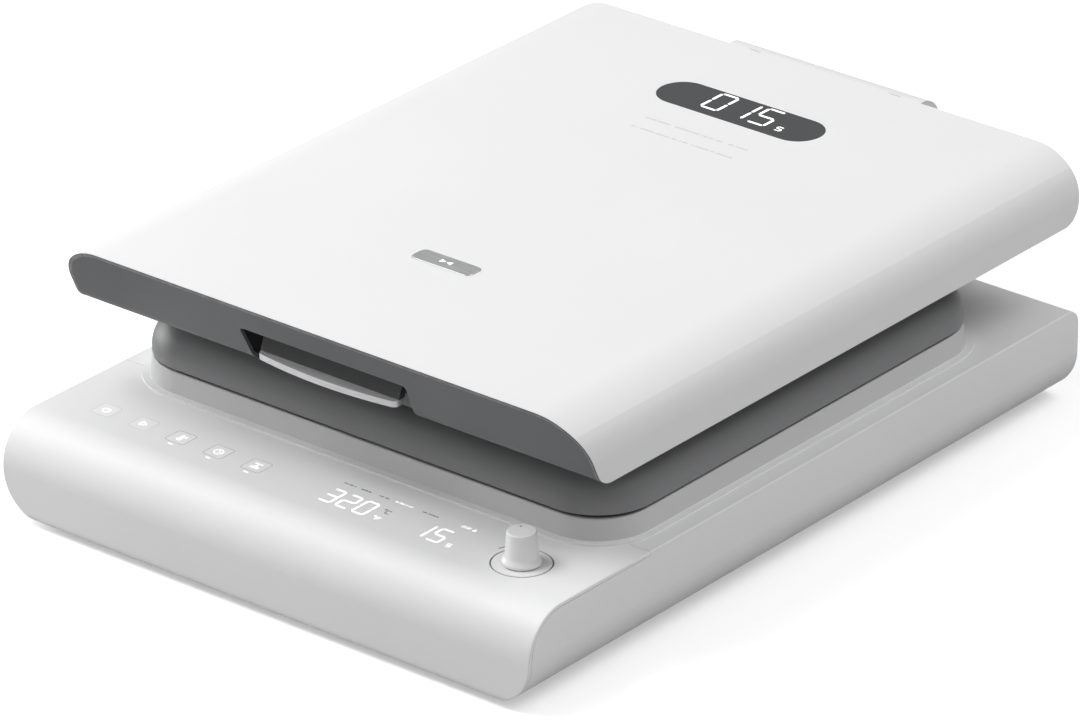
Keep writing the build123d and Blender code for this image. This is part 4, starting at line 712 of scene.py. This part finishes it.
def lid_outline(inset, floor, steps=10):
    """Front outline of the lid, set in, as (x, z): up the right side, round two tangent arcs of 45 degrees
    about (x1, z1) and (x1 - g cos 45, z1 - g sin 45) with radii r - inset and r + g - inset, then
    mirrored."""
    centre = np.array([shell_high[0] - shoulder_radius, shell_high[2] - shoulder_z])
    far_centre = centre - shoulder_growth / math.sqrt(2)
    side_run = np.linspace(floor, centre[1], steps, endpoint=False)
    side = np.column_stack([np.full(steps, shell_high[0] - inset), side_run])
    turn = np.linspace(0, math.pi / 4, steps)[:, None]
    low_arc = centre + (shoulder_radius - inset) * np.hstack([np.cos(turn), np.sin(turn)])
    turn = turn[1:] + math.pi / 4
    far_radius = shoulder_radius + shoulder_growth - inset
    high_arc = far_centre + far_radius * np.hstack([np.cos(turn), np.sin(turn)])
    half = np.vstack([side, low_arc, high_arc])
    return np.vstack([half, half[::-1] * (-1, 1)])


def front_strip(name, section, material):
    """Closed strip along the lid's front outline. Each corner of its section is (inset, lift). Lift runs
    along the front's outward normal (0, -cos b, -sin b), where b is the slope, or on the lower corner
    asin((zc - z) / r)."""
    corner_z = shell_low[2] + front_corner
    edge_z = corner_z - front_corner * math.sin(front_slope)
    edge_y = shell_low[1] + (shell_high[2] - edge_z) * math.tan(front_slope)
    loops = []
    for inset, lift in section:
        outline = lid_outline(inset, shell_low[2] + strip_start)
        below = np.clip((corner_z - outline[:, 1]) / front_corner, 0, 1)
        angle = np.maximum(front_slope, np.arcsin(below))
        on_slope = shell_low[1] + (shell_high[2] - outline[:, 1]) * math.tan(front_slope)
        on_corner = edge_y + front_corner * (math.cos(front_slope) - np.cos(angle))
        face_y = np.where(outline[:, 1] > edge_z, on_slope, on_corner)
        loops.append(np.column_stack([outline[:, 0], face_y - lift * np.cos(angle),
                                      outline[:, 1] - lift * np.sin(angle)]))
    points = np.stack(loops, 1)
    strip = mesh_piece(name, points, loop_faces(*points.shape[:2]), material)
    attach(strip, "lid")


# Painted shade: the strip darkens the shell's front rim, which lies in shade.
shade_strip_section = np.array([(2.9, -0.05), (2.8, 0.08), (1.1, 0.08), (1.1, -0.05)]) / 1000
front_strip("lid_shade_strip", shade_strip_section, fascia_grey)
# Painted shadow: a darker line along the strip's outer edge, in the joint's shade.
shadow_line_dark = moulded("shadow_line_dark", (0.045, 0.046, 0.048), tone=0.12, cell=1200.0, depth=5e-6, roughness=0.50,
                    spread=0.12)
shadow_line_section = np.array([(1.1, -0.05), (1.0, 0.12), (0.5, 0.12), (0.4, -0.05)]) / 1000
front_strip("lid_shadow_line", shadow_line_section, shadow_line_dark)

# Press drive: machined gears on ground shafts, a bearing block for the lead screw and a flat
# painted motor, all standing on the lid's steel frame.
gear_steel = metal("gear_steel", (0.50, 0.50, 0.51), run=(260.0, 260.0, 1600.0), roughness=0.30,
                   spread=0.18, mottle=0.30, depth=4e-6)
motor_paint = moulded("motor_paint", (0.10, 0.10, 0.105), tone=0.3, cell=1600.0, depth=12e-6,
                      roughness=0.45, spread=0.12)
dress(gear_steel, "drive_gear", "motor_pinion", "screw_bearing")
dress(ground_steel, "lead_screw", "motor_shaft")
dress(motor_paint, "gear_motor")

# Lid display: a smoked window flush with the shell, with digits that shine through it. Two
# faint lines of small print in front of it are left as plain bars.
lid_top = 0.1813
window_smoke = moulded("window_smoke", (0.050, 0.052, 0.054), tone=0.10, cell=400.0, depth=0.0,
                       roughness=0.16, spread=0.08)
dress(window_smoke, "display_window")
led_block = printed("led_block", (0.80, 0.82, 0.84), roughness=0.4, glow=0.1)
dress(led_block, "lid_display_leds")
lid_digit = {"low": 0.1824, "width": 0.0136, "height": 0.0254, "gap": 0.0004}
lid_strokes = []
for digit, left in (("0", -0.0270), ("1", -0.0067), ("5", 0.0128)):
    lid_strokes += digit_strokes(digit, left, **lid_digit)
flat_marks("lid_digits", stroke_outlines(lid_strokes, width=0.0021), lid_top, lit_white, "lid")
lid_unit = unit_strokes("s", left=0.0352, low=0.1824, size=0.0056)
flat_marks("lid_unit", stroke_outlines(lid_unit, width=0.0011), lid_top, lit_white, "lid")
faint_grey = printed("faint_grey", (0.52, 0.52, 0.52), roughness=0.5)
far_line_y = 0.1441
near_line_y = 0.1275
word_places = [
    (-0.0430, -0.0210, far_line_y), (-0.0180, 0.0020, far_line_y), (0.0050, 0.0230, far_line_y),
    (0.0260, 0.0440, far_line_y), (-0.0420, -0.0240, near_line_y), (-0.0210, 0.0060, near_line_y),
    (0.0090, 0.0270, near_line_y), (0.0300, 0.0430, near_line_y)]
small_print = np.vstack([sign_bars(x0, x1, y, height=0.0026, pitch=0.0015, lean=0.25, seed=seed)
                         for seed, (x0, x1, y) in enumerate(word_places)])
flat_marks("lid_small_print", stroke_outlines(small_print, width=0.0008), lid_top, faint_grey,
           "lid")

# Start button: a silver-grey cap in a narrow gap of the shell, kept in it by a flange over
# two switches, with two white triangles that face each other.
button_silver = metal("button_silver", (0.52, 0.525, 0.53), run=(60.0, 700.0, 700.0), roughness=0.42,
                      spread=0.14, mottle=0.10, depth=2e-6, metallic=0.55)
dress(button_silver, "start_button")
button_middle = np.array([0.0, -0.11925])
cap_top = 0.1818
sign_proud = 0.000004
button_top = cap_top - mark_rise + sign_proud
triangles = np.array([[(-4.6, -2.2), (-0.2, 0.0), (-4.6, 2.2)],
                      [(4.6, -2.2), (4.6, 2.2), (0.2, 0.0)]]) / 1000
flat_marks("button_sign", triangles + button_middle, button_top, lit_white, "start_button")

# Release handle: a dark paddle hung on a steel pin in a black pocket, with a bright lip of
# brushed aluminium along its lower edge.
pocket_black = moulded("pocket_black", (0.012, 0.012, 0.012), tone=0.3, cell=1800.0, depth=15e-6,
                       roughness=0.70, spread=0.10)
paddle_grey = moulded("paddle_grey", (0.068, 0.070, 0.073), tone=0.12, cell=1200.0, depth=5e-6,
                      roughness=0.40, spread=0.12)
lip_aluminium = metal("lip_aluminium", (0.86, 0.86, 0.87), run=(30.0, 1400.0, 1400.0), roughness=0.38,
                      spread=0.12, mottle=0.05, depth=2e-6, metallic=0.45)
dress(pocket_black, "handle_bucket")
dress(paddle_grey, "handle_lever")
dress(lip_aluminium, "handle_lip")
